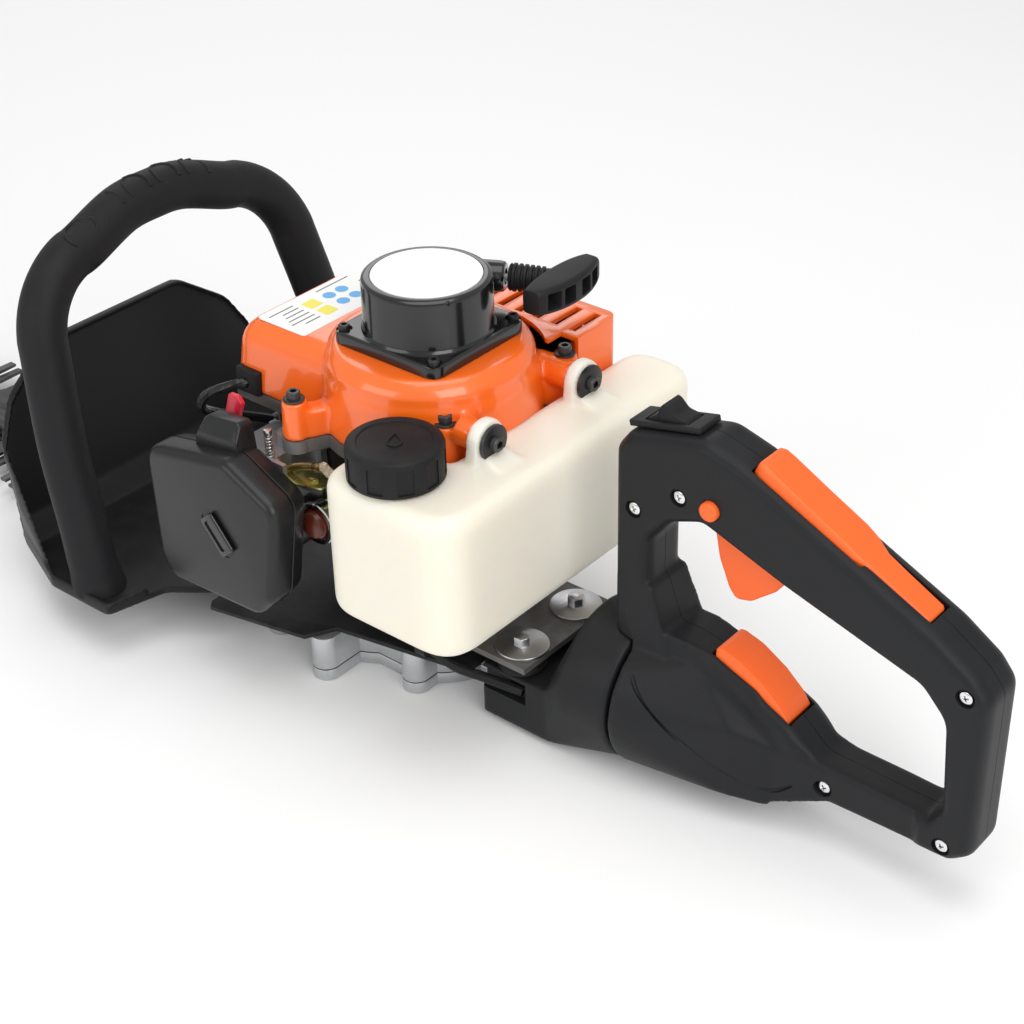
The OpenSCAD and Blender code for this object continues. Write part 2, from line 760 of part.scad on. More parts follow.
module starter_badge() {
    color([0.95, 0.95, 0.95])
    translate([0, 0, starter_top]) cylinder(r = 32.6, h = 0.5, $fn = 96);
}

module starter_screws() {
    color([0.12, 0.12, 0.12])
    for (sx = [-1, 1], sy = [-1, 1]) translate([sx * 35, sy * 35, flange_z + flange_t]) difference() {
        union() {
            cylinder(r = 3.6, h = 2.6);
            translate([0, 0, -18]) cylinder(r = 1.6, h = 19);
        }
        translate([0, 0, 1.2]) cube([4.4, 0.9, 4], center = true);
        translate([0, 0, 1.2]) cube([0.9, 4.4, 4], center = true);
    }
}

module starter_reel() {
    color([0.85, 0.85, 0.82])
    difference() {
        union() {
            translate([0, 0, rope_z - 6]) cylinder(r = rope_line + 1.8, h = 2.5);
            translate([0, 0, rope_z - 5]) cylinder(r = rope_line - rope_r - 0.6, h = 10);
            translate([0, 0, rope_z + 3.5]) cylinder(r = rope_line + 1.8, h = 2.5);
            translate([0, 0, rope_z - 20]) cylinder(r = 12, h = 16);
        }
        translate([0, 0, 200]) cylinder(r = 5 + run_gap, h = 100);
    }
}

module starter_handle() {
    color([0.06, 0.06, 0.06])
    difference() {
        union() {
            on_rope(42) cylinder(r1 = 8.5, r2 = 7.5, h = 26);
            on_rope(66) translate([0, pull_width / 2, 0]) rotate([90, 0, 0])
                linear_extrude(pull_width) rrect(-8.5, 0, 8.5, 22, 6);
        }
        on_rope(40) cylinder(r = rope_r, h = 36);
    }
}

module starter_rope() {
    color([0.9, 0.9, 0.88])
    on_rope(1) cylinder(r = rope_r, h = 75);
}

module carburettor() {
    color([0.7, 0.7, 0.7])
    difference() {
        union() {
            translate([carb_x - 18, fin_half + 8, carb_z - 18]) cube([36, filter_back - fin_half - 9, 34]);
            translate([carb_x - 22, fin_half + 4, carb_z - 14]) cube([44, 5, 28]);
            translate([carb_x - 10, fin_half + 20, carb_z + 12]) cylinder(r = 9, h = 12);
            translate([carb_x - 30, filter_back - 4, carb_z - 20]) cube([62, 3, 40]);
        }
        rod_y(8, fin_half, filter_back + 5, carb_x, carb_z);
        translate([carb_x - 26, 65, carb_z - 4]) cube([11, 10, 22]);
        rod_y(2.4 + run_gap, filter_back - 5, filter_back, choke_at[0], choke_at[1]);
    }
}

module filter_shape(y0, y1, inset) {
    mid = [77, 117];
    side(y0, y1) polygon([for (p = filter_outline) p - inset * unit(p - mid)]);
}

module filter_case() {
    color([0.07, 0.07, 0.07])
    difference() {
        union() {
            filter_shape(filter_back, filter_seam, 1);
            side(filter_back + 1, filter_face - 12) polygon([[62, 160], [66, 187], [96, 184], [100, 158]]);
        }
        filter_shape(filter_back + 2.5, filter_seam + 1, 1 + filter_wall);
        side(filter_seam, filter_face) polygon(filter_outline);
        rod_y(8, filter_back - 1, filter_back + 5, carb_x, carb_z);
    }
}

module filter_element() {
    color([0.25, 0.25, 0.27])
    difference() {
        filter_shape(filter_back + 3.5, filter_seam + 6, 8);
        rod_y(16, filter_back + 3, filter_back + 9, carb_x, carb_z);
        rod_y(5, filter_back, filter_face, knob_at[0], knob_at[1]);
    }
}

module filter_cover() {
    color([0.06, 0.06, 0.06])
    difference() {
        union() {
            filter_shape(filter_seam + 0.3, filter_face - 4, 0);
            filter_shape(filter_face - 4, filter_face, 5);
        }
        filter_shape(filter_seam, filter_face - 4 - filter_wall, filter_wall);
        filter_shape(filter_seam, filter_face - filter_wall, filter_wall + 5);
        rod_y(3 + run_gap, filter_face - 20, filter_face + 5, knob_at[0], knob_at[1]);
    }
}

module filter_knob() {
    color([0.1, 0.1, 0.1]) {
        translate([knob_at[0], filter_face + 6, knob_at[1]]) rotate([90, 0, 0]) rotate(-32)
            linear_extrude(5.6) slot(8, 6.5);
        rod_y(3, filter_face - 8, filter_face + 4, knob_at[0], knob_at[1]);
    }
}

module choke_lever() {
    color([0.82, 0.16, 0.24]) {
        side(filter_back - 10, filter_back - 7)
            polygon([[97, 148], [84, 187], [93, 190], [105, 152], [103, 148]]);
        rod_y(2.4, filter_back - 10, filter_back - 1.5, choke_at[0], choke_at[1]);
    }
}

module primer_ring() {
    color([0.75, 0.75, 0.75])
    difference() {
        union() {
            rod_y(14, 73, 76, primer_at[0], primer_at[1]);
            translate([primer_at[0], 60, primer_at[1] - 13]) cube([27, 10, 26]);
            rod_y(11.5, 66, 74, primer_at[0], primer_at[1]);
        }
        rod_y(9.8, 70.5, 80, primer_at[0], primer_at[1]);
    }
}

module primer_bulb() {
    color([0.45, 0.16, 0.1]) {
        rod_y(9.4, 74.2, 77.1, primer_at[0], primer_at[1]);
        intersection() {
            translate([primer_at[0], 72.5, primer_at[1]]) sphere(r = 10.4);
            rod_y(12, 77, 90, primer_at[0], primer_at[1]);
        }
    }
}

// The tank's plan with its walls moved in by inset and its relief round the engine at radius relief
module tank_plan(inset, relief) {
    difference() {
        union() {
            rrect(tank_rear + inset, tank_right + inset, tank_front - inset, tank_left - inset, tank_corner);
            rrect(tank_rear + inset, tank_step + inset, tank_left_front - inset, tank_left - inset, tank_corner);
        }
        circle(relief + inset);
        translate([cover_posts[2][0], cover_posts[2][1]]) circle(9.6 + inset);
    }
}

module fuel_tank() {
    chamfer = 8;
    split = 158;
    color([0.92, 0.89, 0.8])
    difference() {
        union() {
            translate([0, 0, tank_bottom]) linear_extrude(chamfer) tank_plan(chamfer / 2, crankcase_r + 2);
            translate([0, 0, tank_bottom + chamfer]) linear_extrude(split - tank_bottom - chamfer)
                tank_plan(0, crankcase_r + 4);
            translate([0, 0, split]) linear_extrude(tank_top - chamfer - split) tank_plan(0, rim_r + 2);
            translate([0, 0, tank_top - chamfer]) linear_extrude(chamfer) tank_plan(chamfer / 2, rim_r + 2);
            translate([cap_x, cap_y, tank_top - 4]) cylinder(r = neck_r + 3, h = 20);
            for (y = lug_y) {
                rod_x(13, lug_x - 5, lug_x + 5, y, lug_z);
                translate([lug_x - 5, y - 13, tank_top - 8]) cube([10, 26, lug_z - tank_top + 8]);
            }
        }
        translate([0, 0, tank_bottom + tank_wall]) linear_extrude(split - tank_bottom - 2 * tank_wall)
            tank_plan(chamfer / 2 + tank_wall, crankcase_r + 4);
        translate([0, 0, split - 2 * tank_wall]) linear_extrude(tank_top - split + tank_wall)
            tank_plan(chamfer / 2 + tank_wall, rim_r + 4);
        translate([cap_x, cap_y, tank_top - 10]) cylinder(r = neck_r, h = 40);
        for (y = lug_y) rod_x(2.3, lug_x - 10, lug_x + 10, y, lug_z);
    }
}

module fuel_cap() {
    ribs = 20;
    color([0.05, 0.05, 0.05])
    difference() {
        translate([cap_x, cap_y, tank_top + 0.5]) cylinder(r = cap_r, h = cap_top - tank_top - 0.5, $fn = 80);
        translate([cap_x, cap_y, tank_top]) cylinder(r = neck_r + 3.4, h = 17.6);
        for (i = [0:ribs - 1]) translate([cap_x, cap_y, tank_top]) rotate(i * 360 / ribs)
            translate([cap_r + 1.4, 0, 0]) cylinder(r = 2.4, h = cap_top - tank_top - 4);
    }
}

line_route = [[-9.2, 88, 170], [-3, 87, 171], [5, 85, 171], [12, 81, 169], [16.5, 77.9, 167.2]];

module fuel_line() {
    color([0.9, 0.88, 0.7])
    sweep(smooth(line_route, 4), 3, 10, [0, 1, 0.3]);
}

elbow_route = [[18.4, 77.6, 166.4], [26, 76, 163], [38, 74, 158], [48, 73, 153], [54, 72, 149], [58, 70, 142]];

module fuel_elbow() {
    color([0.8, 0.62, 0.28])
    sweep(smooth(elbow_route, 3), 2.4, 10, [0, 0.3, 1]);
}

cable_route = [[52, 55, 121], [46, 54, 110], [26, 54, 80], [8, 52, 54], [-10, 50, 43], [-30, 49, 42],
               [-52, 50, 38.5], [-63, 48.5, 37.5], [-72, 43, 34], [-96, 36, 30]];

// Throttle cable and stop wires in one conduit
module throttle_cable() {
    color([0.07, 0.07, 0.07])
    sweep(smooth(cable_route, 5), 3.2, 10, [0.2, 1, 0.1]);
}

module cable_clip() {
    color([0.1, 0.1, 0.1])
    difference() {
        union() {
            rod_x(6.4, -34, -26, 49, 42);
            translate([-34, 40, plate_z + plate_t]) cube([8, 10, 2.5]);
        }
        rod_x(4, -40, -20, 49, 42);
    }
}

module hub_bracket() {
    color([0.09, 0.09, 0.09])
    difference() {
        union() {
            translate([-118, -46, 3]) cube([52, 86, 39]);
            rod_x(swivel_r, swivel_x, -128, 0, swivel_z);
            hull() {
                rod_x(swivel_r, -129, -128, 0, swivel_z, $fn = 32);
                translate([-118, -44, 4]) cube([4, 84, 38]);
            }
            rod_x(spigot_r, swivel_x - 30, -150, 0, swivel_z);
            rod_x(spigot_r + 3, handle_front - 11, handle_front - 5, 0, swivel_z);
        }
        rod_x(10, swivel_x - 40, -120, 0, swivel_z);
        translate([-112, -40, 8]) cube([60, 74, 30]);
        for (y = av_y) translate([av_x, y, 30]) cylinder(r = 3, h = 30);
        translate([-101, 28, 24]) cube([40, 20, 15]);
    }
}

// Rubber buffers between the hub bracket and the engine's carrier
module av_rubbers() {
    color([0.12, 0.12, 0.12])
    for (y = av_y) translate([av_x, y, 42]) difference() {
        cylinder(r = 15, h = carrier_z - 42);
        translate([0, 0, -1]) cylinder(r = 3, h = 20);
    }
}

module av_bolts() {
    color([0.8, 0.8, 0.8])
    for (y = av_y) translate([av_x, y, carrier_z + carrier_t]) {
        cylinder(r = 16.5, h = 2);
        translate([0, 0, 2]) cylinder(r = 5.5, h = 6, $fn = 6);
        translate([0, 0, -18]) cylinder(r = 3, h = 20);
    }
}

module loop_outline() {
    polygon([[post_front, 96], [post_front, 213], [-157, 224], [-208, 236], [-233, 229], [-353, 173],
             [-376, 158], [handle_rear, 146], [handle_rear, 44], [-374, 35], [-276, 34], [-240, 60], [-190, 70], [handle_front - 1, 72],
             [handle_front - 1, 94.8], [post_front, 95.4]]);
}

module loop_opening() {
    polygon([[-173, 104], [-173, 160], [-187, 176], [-208, 184], [-262, 165], [-346, 140], [-361, 124],
             [-365, 68], [-358, 57], [-288, 59], [-270, 75], [-218, 104]]);
}

module base_block(inset) {
    hull() {
        translate([handle_front - 8, 0, swivel_z]) rotate([0, 90, 0])
            cylinder(r = swivel_r - inset, h = 8 - inset, $fn = 32);
        translate([-262 + inset, -22 + inset, 15 + inset]) cube([20, 44 - 2 * inset, 60 - 2 * inset]);
        translate([-216, -18 + inset, 80]) cube([40, 36 - 2 * inset, 22 - inset]);
    }
}

module handle_body() {
    difference() {
        union() {
            side(-grip_half, grip_half) difference() {
                loop_outline();
                loop_opening();
            }
            base_block(0);
        }
        // Narrow the lower bar
        for (s = [-1, 1]) translate([-358, s > 0 ? bar_half : -bar_half - 20, 30]) cube([78, 20, 34]);
        // Hollow grip, base and switch pocket
        side(-grip_half + handle_wall, grip_half - handle_wall)
            polygon([[-154, 120], [-154, 208], [-162, 220], [-208, 231], [-231, 225], [-352, 168], [-352, 148],
                     [-262, 170], [-208, 190], [-183, 180], [-168, 164], [-168, 120]]);
        base_block(handle_wall + 1);
        rod_x(spigot_r + run_gap, -210, -150, 0, swivel_z);
        // Slots for the trigger, lockout lever, latch and switch
        translate([-270, -7, 150]) cube([66, 14, 40]);
        translate([lockout_pivot[0] - 8, -12.8, lockout_pivot[1] - 8]) rotate([0, -grip_angle, 0]) cube([130, 25.6, 24]);
        translate([-270, -12.8, 64]) cube([59, 25.6, 60]);
        translate([switch_at[0] - 18, -8, switch_at[1] - 24]) cube([36, 16, 40]);
        // Pivot bores
        rod_y(2.5 + run_gap, -grip_half + 1, grip_half - 1, trigger_pivot[0], trigger_pivot[1]);
        rod_y(2.5 + run_gap, -grip_half + 1, grip_half - 1, lockout_pivot[0], lockout_pivot[1]);
        rod_y(2.5 + run_gap, -20, 20, latch_pivot[0], latch_pivot[1]);
        rod_y(6.2, 10, grip_half + 1, button_at[0], button_at[1]);
    }
}

handle_screw_at = [[-163.5, 178, 0], [-193.4, 196.7, 0], [-372.6, 146, 0], [-369, 45, 0], [-293.4, 43.2, 1]];

module handle_screw_holes(y0, y1, r) {
    for (p = handle_screw_at) rod_y(r, y0, y1, p[0], p[1]);
}

module handle_left() {
    color([0.11, 0.11, 0.12])
    difference() {
        intersection() {
            handle_body();
            translate([-500, 0, -20]) cube([400, 100, 400]);
        }
        handle_screw_holes(-1, 60, 2.2);
        for (p = handle_screw_at) rod_y(4.6, (p[2] > 0 ? bar_half : grip_half) - 2.4, 60, p[0], p[1]);
    }
}

module handle_right() {
    color([0.11, 0.11, 0.12])
    difference() {
        intersection() {
            handle_body();
            translate([-500, -100, -20]) cube([400, 100, 400]);
        }
        handle_screw_holes(-12, 1, 2);
    }
}

module handle_screws() {
    color([0.75, 0.75, 0.76])
    for (p = handle_screw_at) {
        face = (p[2] > 0 ? bar_half : grip_half) - 2.4;
        difference() {
            union() {
                rod_y(2, -10, face + 0.5, p[0], p[1]);
                rod_y(4.2, face, face + 2.2, p[0], p[1]);
            }
            translate([p[0], face + 2.2, p[1]]) cube([5, 2.4, 1], center = true);
            translate([p[0], face + 2.2, p[1]]) cube([1, 2.4, 5], center = true);
        }
    }
}

module throttle_trigger() {
    color([1, 0.45, 0.2]) {
        side(-6, 6) polygon([[-208, 182], [-221, 142], [-225, 136], [-235, 139.6], [-250, 152], [-258, 163],
                             [-252, 180], [-226, 201], [-218, 196]]);
        rod_y(2.5, -grip_half + 1.4, grip_half - 1.4, trigger_pivot[0], trigger_pivot[1]);
    }
}

module lockout_lever() {
    length = 104;
    color([1, 0.45, 0.2]) {
        translate([lockout_pivot[0], 12, lockout_pivot[1]]) rotate([90, 0, 0]) rotate(grip_angle)
            linear_extrude(24) polygon([[-6, 0], [-6, 7], [36, 9], [60, 12.5], [length + 10, 15],
                                        [length + 12, 5], [60, 2.5], [36, 1], [0, -3]]);
        rod_y(2.5, -grip_half + 1.4, grip_half - 1.4, lockout_pivot[0], lockout_pivot[1]);
    }
}

module throttle_lock_button() {
    color([1, 0.45, 0.2])
    rod_y(5.8, 10.5, grip_half + 3.5, button_at[0], button_at[1]);
}

module swivel_latch() {
    color([1, 0.45, 0.2]) {
        side(-12, 12) polygon([[-217, 100], [-218.5, 105], [-232, 101], [-250, 91], [-264, 78], [-267, 72],
                               [-262, 64], [-257, 68], [-240, 84]]);
        rod_y(2.5, -19.6, 19.6, latch_pivot[0], latch_pivot[1]);
    }
}

module on_switch() {
    translate([switch_at[0], 0, switch_at[1]]) rotate([0, switch_tilt, 0]) children();
}

module switch_bezel() {
    color([0.06, 0.06, 0.06])
    on_switch() difference() {
        translate([-24, -10, 1.2]) cube([48, 20, 3.4]);
        translate([-15.6, -7.4, -10]) cube([31.2, 14.8, 30]);
        rod_y(1.2 + run_gap, -9.2, 9.2, 0, 3);
    }
}

module switch_rocker() {
    color([0.05, 0.05, 0.05])
    on_switch() {
        side(-7, 7) polygon([[-14, 4], [0, 15], [14, 4], [10, -5], [-10, -5]]);
        rod_y(1.2, -9, 9, 0, 3);
    }
}

// Centre line of the front handle from its left foot to its right foot
shoulder_z = handle_top - 13;
function arc_point(k) = let (a = 4 + 90 * k / 8) [
    shoulder_half - bend_r + bend_r * cos(a), shoulder_z - bend_r + bend_r * sin(a)];
handle_half = concat([[foot_half, 40.4], [foot_half - 3, 80], [foot_half - 6, 130]],
    [for (k = [0:7]) arc_point(k)], [[26, handle_top - 2]]);
handle_side = concat(handle_half, [[0, handle_top]],
    [for (i = [len(handle_half) - 1:-1:0]) [-handle_half[i][0], handle_half[i][1]]]);
handle_line = [for (p = handle_side) [foot_x + lean * p[1], p[0], p[1]]];

module front_handle() {
    color([0.1, 0.1, 0.1]) {
        sweep(smooth(handle_line, 2), tube_r, 20, [1, 0, -lean - 0.02]);
        for (s = [-1, 1]) translate([foot_x + lean * 34, s * foot_half, plate_z + 4.2])
            cylinder(r = tube_r + 2, h = 12);
    }
}

module hand_guard() {
    color([0.1, 0.1, 0.1])
    difference() {
        union() {
            translate([0, 0, plate_z]) linear_extrude(4) difference() {
                polygon([[96, -60], [96, 60], [150, 100], [160, 141], [214, 141], [guard_x + 3, 118],
                         [guard_x + 3, -118], [214, -141], [160, -141], [150, -100]]);
                translate([62, -78]) square([56, 156]);
            }
            multmatrix([[1, 0, lean, guard_x - lean * 32], [0, 1, 0, 0], [0, 0, 1, 0], [0, 0, 0, 1]])
                rotate([90, 0, 90]) linear_extrude(guard_t)
                polygon([[-118, 32], [-112, 102], [-60, guard_top], [60, guard_top], [112, 102], [118, 32]]);
        }
    }
}

base_plate();
gearbox_housing();
gearbox_gasket();
gearbox_cover();
cover_bolts();
guide_bar();
blade_bolts();
upper_blade();
lower_blade();
cam_gear();
clutch_drum();
clutch_shoes();
crankshaft();
connecting_rod();
piston();
crankcase();
cylinder_block();  // cylinder
flywheel_fan();
ignition_coil();
spark_plug();
ignition_lead();
muffler();
muffler_guard();
engine_cover();
flange_screws();
rating_label();
starter_housing();
starter_badge();
starter_screws();
starter_reel();
starter_handle();
starter_rope();
carburettor();
filter_case();
filter_element();
filter_cover();
filter_knob();
choke_lever();
primer_ring();
primer_bulb();
fuel_tank();
fuel_cap();
fuel_line();
fuel_elbow();
throttle_cable();
cable_clip();
hub_bracket();
av_rubbers();
av_bolts();
handle_left();
handle_right();
handle_screws();
throttle_trigger();
lockout_lever();
throttle_lock_button();
swivel_latch();
switch_bezel();
switch_rocker();
front_handle();
hand_guard();
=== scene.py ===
import bmesh
import bpy
import math
from mathutils import Matrix, Vector


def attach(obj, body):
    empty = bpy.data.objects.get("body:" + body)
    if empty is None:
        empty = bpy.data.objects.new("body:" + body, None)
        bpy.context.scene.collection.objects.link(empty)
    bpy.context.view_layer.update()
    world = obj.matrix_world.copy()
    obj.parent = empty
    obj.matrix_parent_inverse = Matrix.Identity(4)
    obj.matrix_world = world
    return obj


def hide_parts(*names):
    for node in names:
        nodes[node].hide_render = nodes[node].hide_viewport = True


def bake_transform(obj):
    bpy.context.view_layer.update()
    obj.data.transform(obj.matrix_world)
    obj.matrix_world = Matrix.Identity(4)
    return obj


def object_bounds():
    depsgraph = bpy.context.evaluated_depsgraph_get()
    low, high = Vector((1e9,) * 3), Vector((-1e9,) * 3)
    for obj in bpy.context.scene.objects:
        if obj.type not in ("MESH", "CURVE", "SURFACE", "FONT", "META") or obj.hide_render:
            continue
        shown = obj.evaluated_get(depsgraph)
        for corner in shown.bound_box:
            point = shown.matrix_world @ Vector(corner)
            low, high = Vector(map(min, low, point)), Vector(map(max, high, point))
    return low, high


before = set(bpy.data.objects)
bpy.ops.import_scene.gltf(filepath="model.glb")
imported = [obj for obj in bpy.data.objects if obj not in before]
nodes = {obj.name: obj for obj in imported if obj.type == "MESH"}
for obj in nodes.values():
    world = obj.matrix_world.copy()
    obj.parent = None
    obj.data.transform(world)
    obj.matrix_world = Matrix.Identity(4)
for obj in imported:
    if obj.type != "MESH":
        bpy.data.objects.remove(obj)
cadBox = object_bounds()
mm = 0.001

print("frame loaded")


# small tools for outlines, in millimetres

def rounded(points, radius, steps=6):
    # rounds the corners of a closed outline; radius is one number or one for each point
    out = []
    count = len(points)
    for i in range(count):
        a, b, c = (Vector(points[(i + k) % count]) for k in (-1, 0, 1))
        r = radius[i] if isinstance(radius, (list, tuple)) else radius
        u, v = (a - b), (c - b)
        turn = u.angle(v)
        reach = min(r / math.tan(turn / 2), 0.49 * u.length, 0.49 * v.length)
        if r <= 0 or reach < 0.01:
            out.append(tuple(b))
            continue
        p, q = b + u.normalized() * reach, b + v.normalized() * reach
        for k in range(steps + 1):
            t = k / steps
            out.append(tuple(p * (1 - t) ** 2 + b * 2 * t * (1 - t) + q * t * t))
    return out


def rectOutline(x0, y0, x1, y1):
    return [(x0, y0), (x1, y0), (x1, y1), (x0, y1)]


def circleOutline(x, y, r, steps=48):
    return [(x + r * math.cos(2 * math.pi * k / steps), y + r * math.sin(2 * math.pi * k / steps))
            for k in range(steps)]


def smoothPath(points, steps=6):
    # curve through the points, with steps pieces on each span
    p = [Vector(v) for v in points]
    out = []
    for i in range(len(p) - 1):
        a, b, c, d = p[max(i - 1, 0)], p[i], p[i + 1], p[min(i + 2, len(p) - 1)]
        for k in range(steps):
            t = k / steps
            out.append(0.5 * (2 * b + (c - a) * t + (2 * a - 5 * b + 4 * c - d) * t * t
                              + (3 * b - a - 3 * c + d) * t ** 3))
    return out + [p[-1]]


# mesh makers; each adds a closed shape to a bmesh, in millimetres

axisTurn = {"z": Matrix.Identity(3),
            "y": Matrix(((1, 0, 0), (0, 0, 1), (0, 1, 0))),
            "x": Matrix(((0, 0, 1), (1, 0, 0), (0, 1, 0)))}


def inSpace(p, h, axis):
    # an outline lies in (x, y), (x, z) or (y, z) for axis z, y or x
    return {"z": (p[0], p[1], h), "y": (p[0], h, p[1]), "x": (h, p[0], p[1])}[axis]


def addPrism(bm, outline, lo, hi, axis="z"):
    low = [bm.verts.new(inSpace(p, lo, axis)) for p in outline]
    high = [bm.verts.new(inSpace(p, hi, axis)) for p in outline]
    count = len(outline)
    faces = [bm.faces.new(low), bm.faces.new(high)]
    for i in range(count):
        j = (i + 1) % count
        faces.append(bm.faces.new((low[i], low[j], high[j], high[i])))
    bmesh.ops.recalc_face_normals(bm, faces=faces)
    return low + high


def addLoft(bm, rings):
    # rings of equal count, joined in order
    made = [[bm.verts.new(p) for p in ring] for ring in rings]
    faces = []
    for a, b in zip(made, made[1:]):
        count = len(a)
        for i in range(count):
            j = (i + 1) % count
            faces.append(bm.faces.new((a[i], a[j], b[j], b[i])))
    faces.append(bm.faces.new(made[0]))
    faces.append(bm.faces.new(made[-1]))
    bmesh.ops.recalc_face_normals(bm, faces=faces)
    return made


def addLathe(bm, profile, centre=(0, 0, 0), axis="z", steps=64):
    # profile is (radius, height) from one pole or rim to the other; ends on the axis are closed
    turn = axisTurn[axis]
    rings = []
    for r, h in profile:
        rings.append([Vector(centre) + turn @ Vector((max(r, 0.01) * math.cos(2 * math.pi * k / steps),
                                                      max(r, 0.01) * math.sin(2 * math.pi * k / steps), h))
                      for k in range(steps)])
    return addLoft(bm, rings)


def addCylinder(bm, r, lo, hi, centre=(0, 0, 0), axis="z", steps=48, edge=0.0, r2=None):
    # a round bar with a small rounded edge
    top = r if r2 is None else r2
    profile = [(0, lo), (r - edge, lo), (r - 0.3 * edge, lo + 0.3 * edge), (r, lo + edge),
               (top, hi - edge), (top - 0.3 * edge, hi - 0.3 * edge), (top - edge, hi), (0, hi)]
    if edge == 0:
        profile = [(0, lo), (r, lo), (top, hi), (0, hi)]
    return addLathe(bm, profile, centre, axis, steps)


def addTube(bm, path, radius, sides=24, ref=(0, 0, 1)):
    # round tube along a path; radius is one number or a function of 0..1
    p = [Vector(v) for v in path]
    side = Vector(ref)
    rings = []
    for i, c in enumerate(p):
        t = (p[min(i + 1, len(p) - 1)] - p[max(i - 1, 0)]).normalized()
        a = t.cross(side).normalized()
        b = a.cross(t).normalized()
        side = b
        r = radius(i / (len(p) - 1)) if callable(radius) else radius
        rings.append([c + r * (math.cos(2 * math.pi * k / sides) * a
                               + math.sin(2 * math.pi * k / sides) * b) for k in range(sides)])
    return addLoft(bm, rings)


def turnVerts(verts, matrix):
    flat = [v for ring in verts for v in ring] if verts and isinstance(verts[0], list) else verts
    for v in flat:
        v.co = matrix @ v.co


# objects

def makeObject(name, bm, scale=mm):
    mesh = bpy.data.meshes.new(name)
    bmesh.ops.scale(bm, vec=(scale, scale, scale), verts=bm.verts)
    bm.to_mesh(mesh)
    bm.free()
    piece = bpy.data.objects.new(name, mesh)
    bpy.context.scene.collection.objects.link(piece)
    return piece


def build(name, *makers):
    # one object from functions that each add to its bmesh
    bm = bmesh.new()
    for make in makers:
        make(bm)
    return makeObject(name, bm)


def bake(piece):
    # turns the modifiers into plain mesh
    graph = bpy.context.evaluated_depsgraph_get()
    graph.update()
    mesh = bpy.data.meshes.new_from_object(piece.evaluated_get(graph))
    old = piece.data
    piece.modifiers.clear()
    piece.data = mesh
    mesh.name = piece.name
    bpy.data.meshes.remove(old)
    return piece


def cut(piece, cutter, mode="DIFFERENCE"):
    # the cutter may be several shapes that do not meet each other
    step = piece.modifiers.new("cut", "BOOLEAN")
    step.operation = mode
    step.solver = "EXACT"
    step.object = cutter
    bake(piece)
    bpy.data.objects.remove(cutter)
    return piece


def moulded(piece, voxel, rounds, factor=0.5):
    # melts overlapping shapes into one skin with soft edges
    step = piece.modifiers.new("melt", "REMESH")
    step.mode = "VOXEL"
    step.voxel_size = voxel * mm
    step.use_smooth_shade = True
    soft = piece.modifiers.new("soft", "SMOOTH")
    soft.factor = factor
    soft.iterations = rounds
    return bake(piece)


def edged(piece, width, segments=3, angle=35):
    step = piece.modifiers.new("edge", "BEVEL")
    step.width = width * mm
    step.segments = segments
    step.limit_method = "ANGLE"
    step.angle_limit = math.radians(angle)
    step.use_clamp_overlap = True
    step.miter_outer = "MITER_ARC"
    return bake(piece)


def shade(piece, angle=40):
    for face in piece.data.polygons:
        face.use_smooth = True
    piece.data.set_sharp_from_angle(angle=math.radians(angle))
    return piece


def dress(piece, angle, finishName, body, stands=()):
    # stands names the solids that the piece takes the place of
    shade(piece, angle)
    piece.data.materials.clear()
    piece.data.materials.append(finish[finishName])
    if body:
        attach(piece, body)
    if stands:
        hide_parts(*stands)
    return piece


def joined(name, pieces):
    bm = bmesh.new()
    for piece in pieces:
        bm.from_mesh(piece.data)
        bpy.data.objects.remove(piece)
    return makeObject(name, bm, 1.0)


# shader groups

def wire(link, pairs):
    # each pair is (node, output, node, input)
    for source, output, target, entry in pairs:
        link.new(source.outputs[output], target.inputs[entry])


def newGroup(name, inputs, outputs):
    group = bpy.data.node_groups.new(name, "ShaderNodeTree")
    for label, kind, value in inputs:
        socket = group.interface.new_socket(label, in_out="INPUT", socket_type=kind)
        if value is not None:
            socket.default_value = value
    for label, kind in outputs:
        group.interface.new_socket(label, in_out="OUTPUT", socket_type=kind)
    return group, group.nodes.new("NodeGroupInput"), group.nodes.new("NodeGroupOutput")


def makeGrainGroup():
    # moulded or cast grain: a height and a roughness that vary over the surface
    group, gin, gout = newGroup(
        "surfaceGrain",
        [("Scale", "NodeSocketFloat", 800.0), ("Rough", "NodeSocketFloat", 0.5),
         ("Spread", "NodeSocketFloat", 0.1)],
        [("Height", "NodeSocketFloat"), ("Roughness", "NodeSocketFloat")])
    n, link = group.nodes, group.links
    coord = n.new("ShaderNodeTexCoord")
    fine = n.new("ShaderNodeTexNoise")
    fine.inputs["Detail"].default_value = 3
    broad = n.new("ShaderNodeTexNoise")
    broad.inputs["Scale"].default_value = 18
    broad.inputs["Detail"].default_value = 4
    spread = n.new("ShaderNodeMath")
    spread.operation = "MULTIPLY_ADD"
    centre = n.new("ShaderNodeMath")
    centre.operation = "SUBTRACT"
    centre.inputs[1].default_value = 0.5
    wire(link, [(coord, "Object", fine, "Vector"), (coord, "Object", broad, "Vector"),
                (gin, "Scale", fine, "Scale"), (broad, "Fac", centre, 0), (centre, 0, spread, 0),
                (gin, "Spread", spread, 1), (gin, "Rough", spread, 2), (fine, "Fac", gout, "Height"),
                (spread, 0, gout, "Roughness")])
    return group


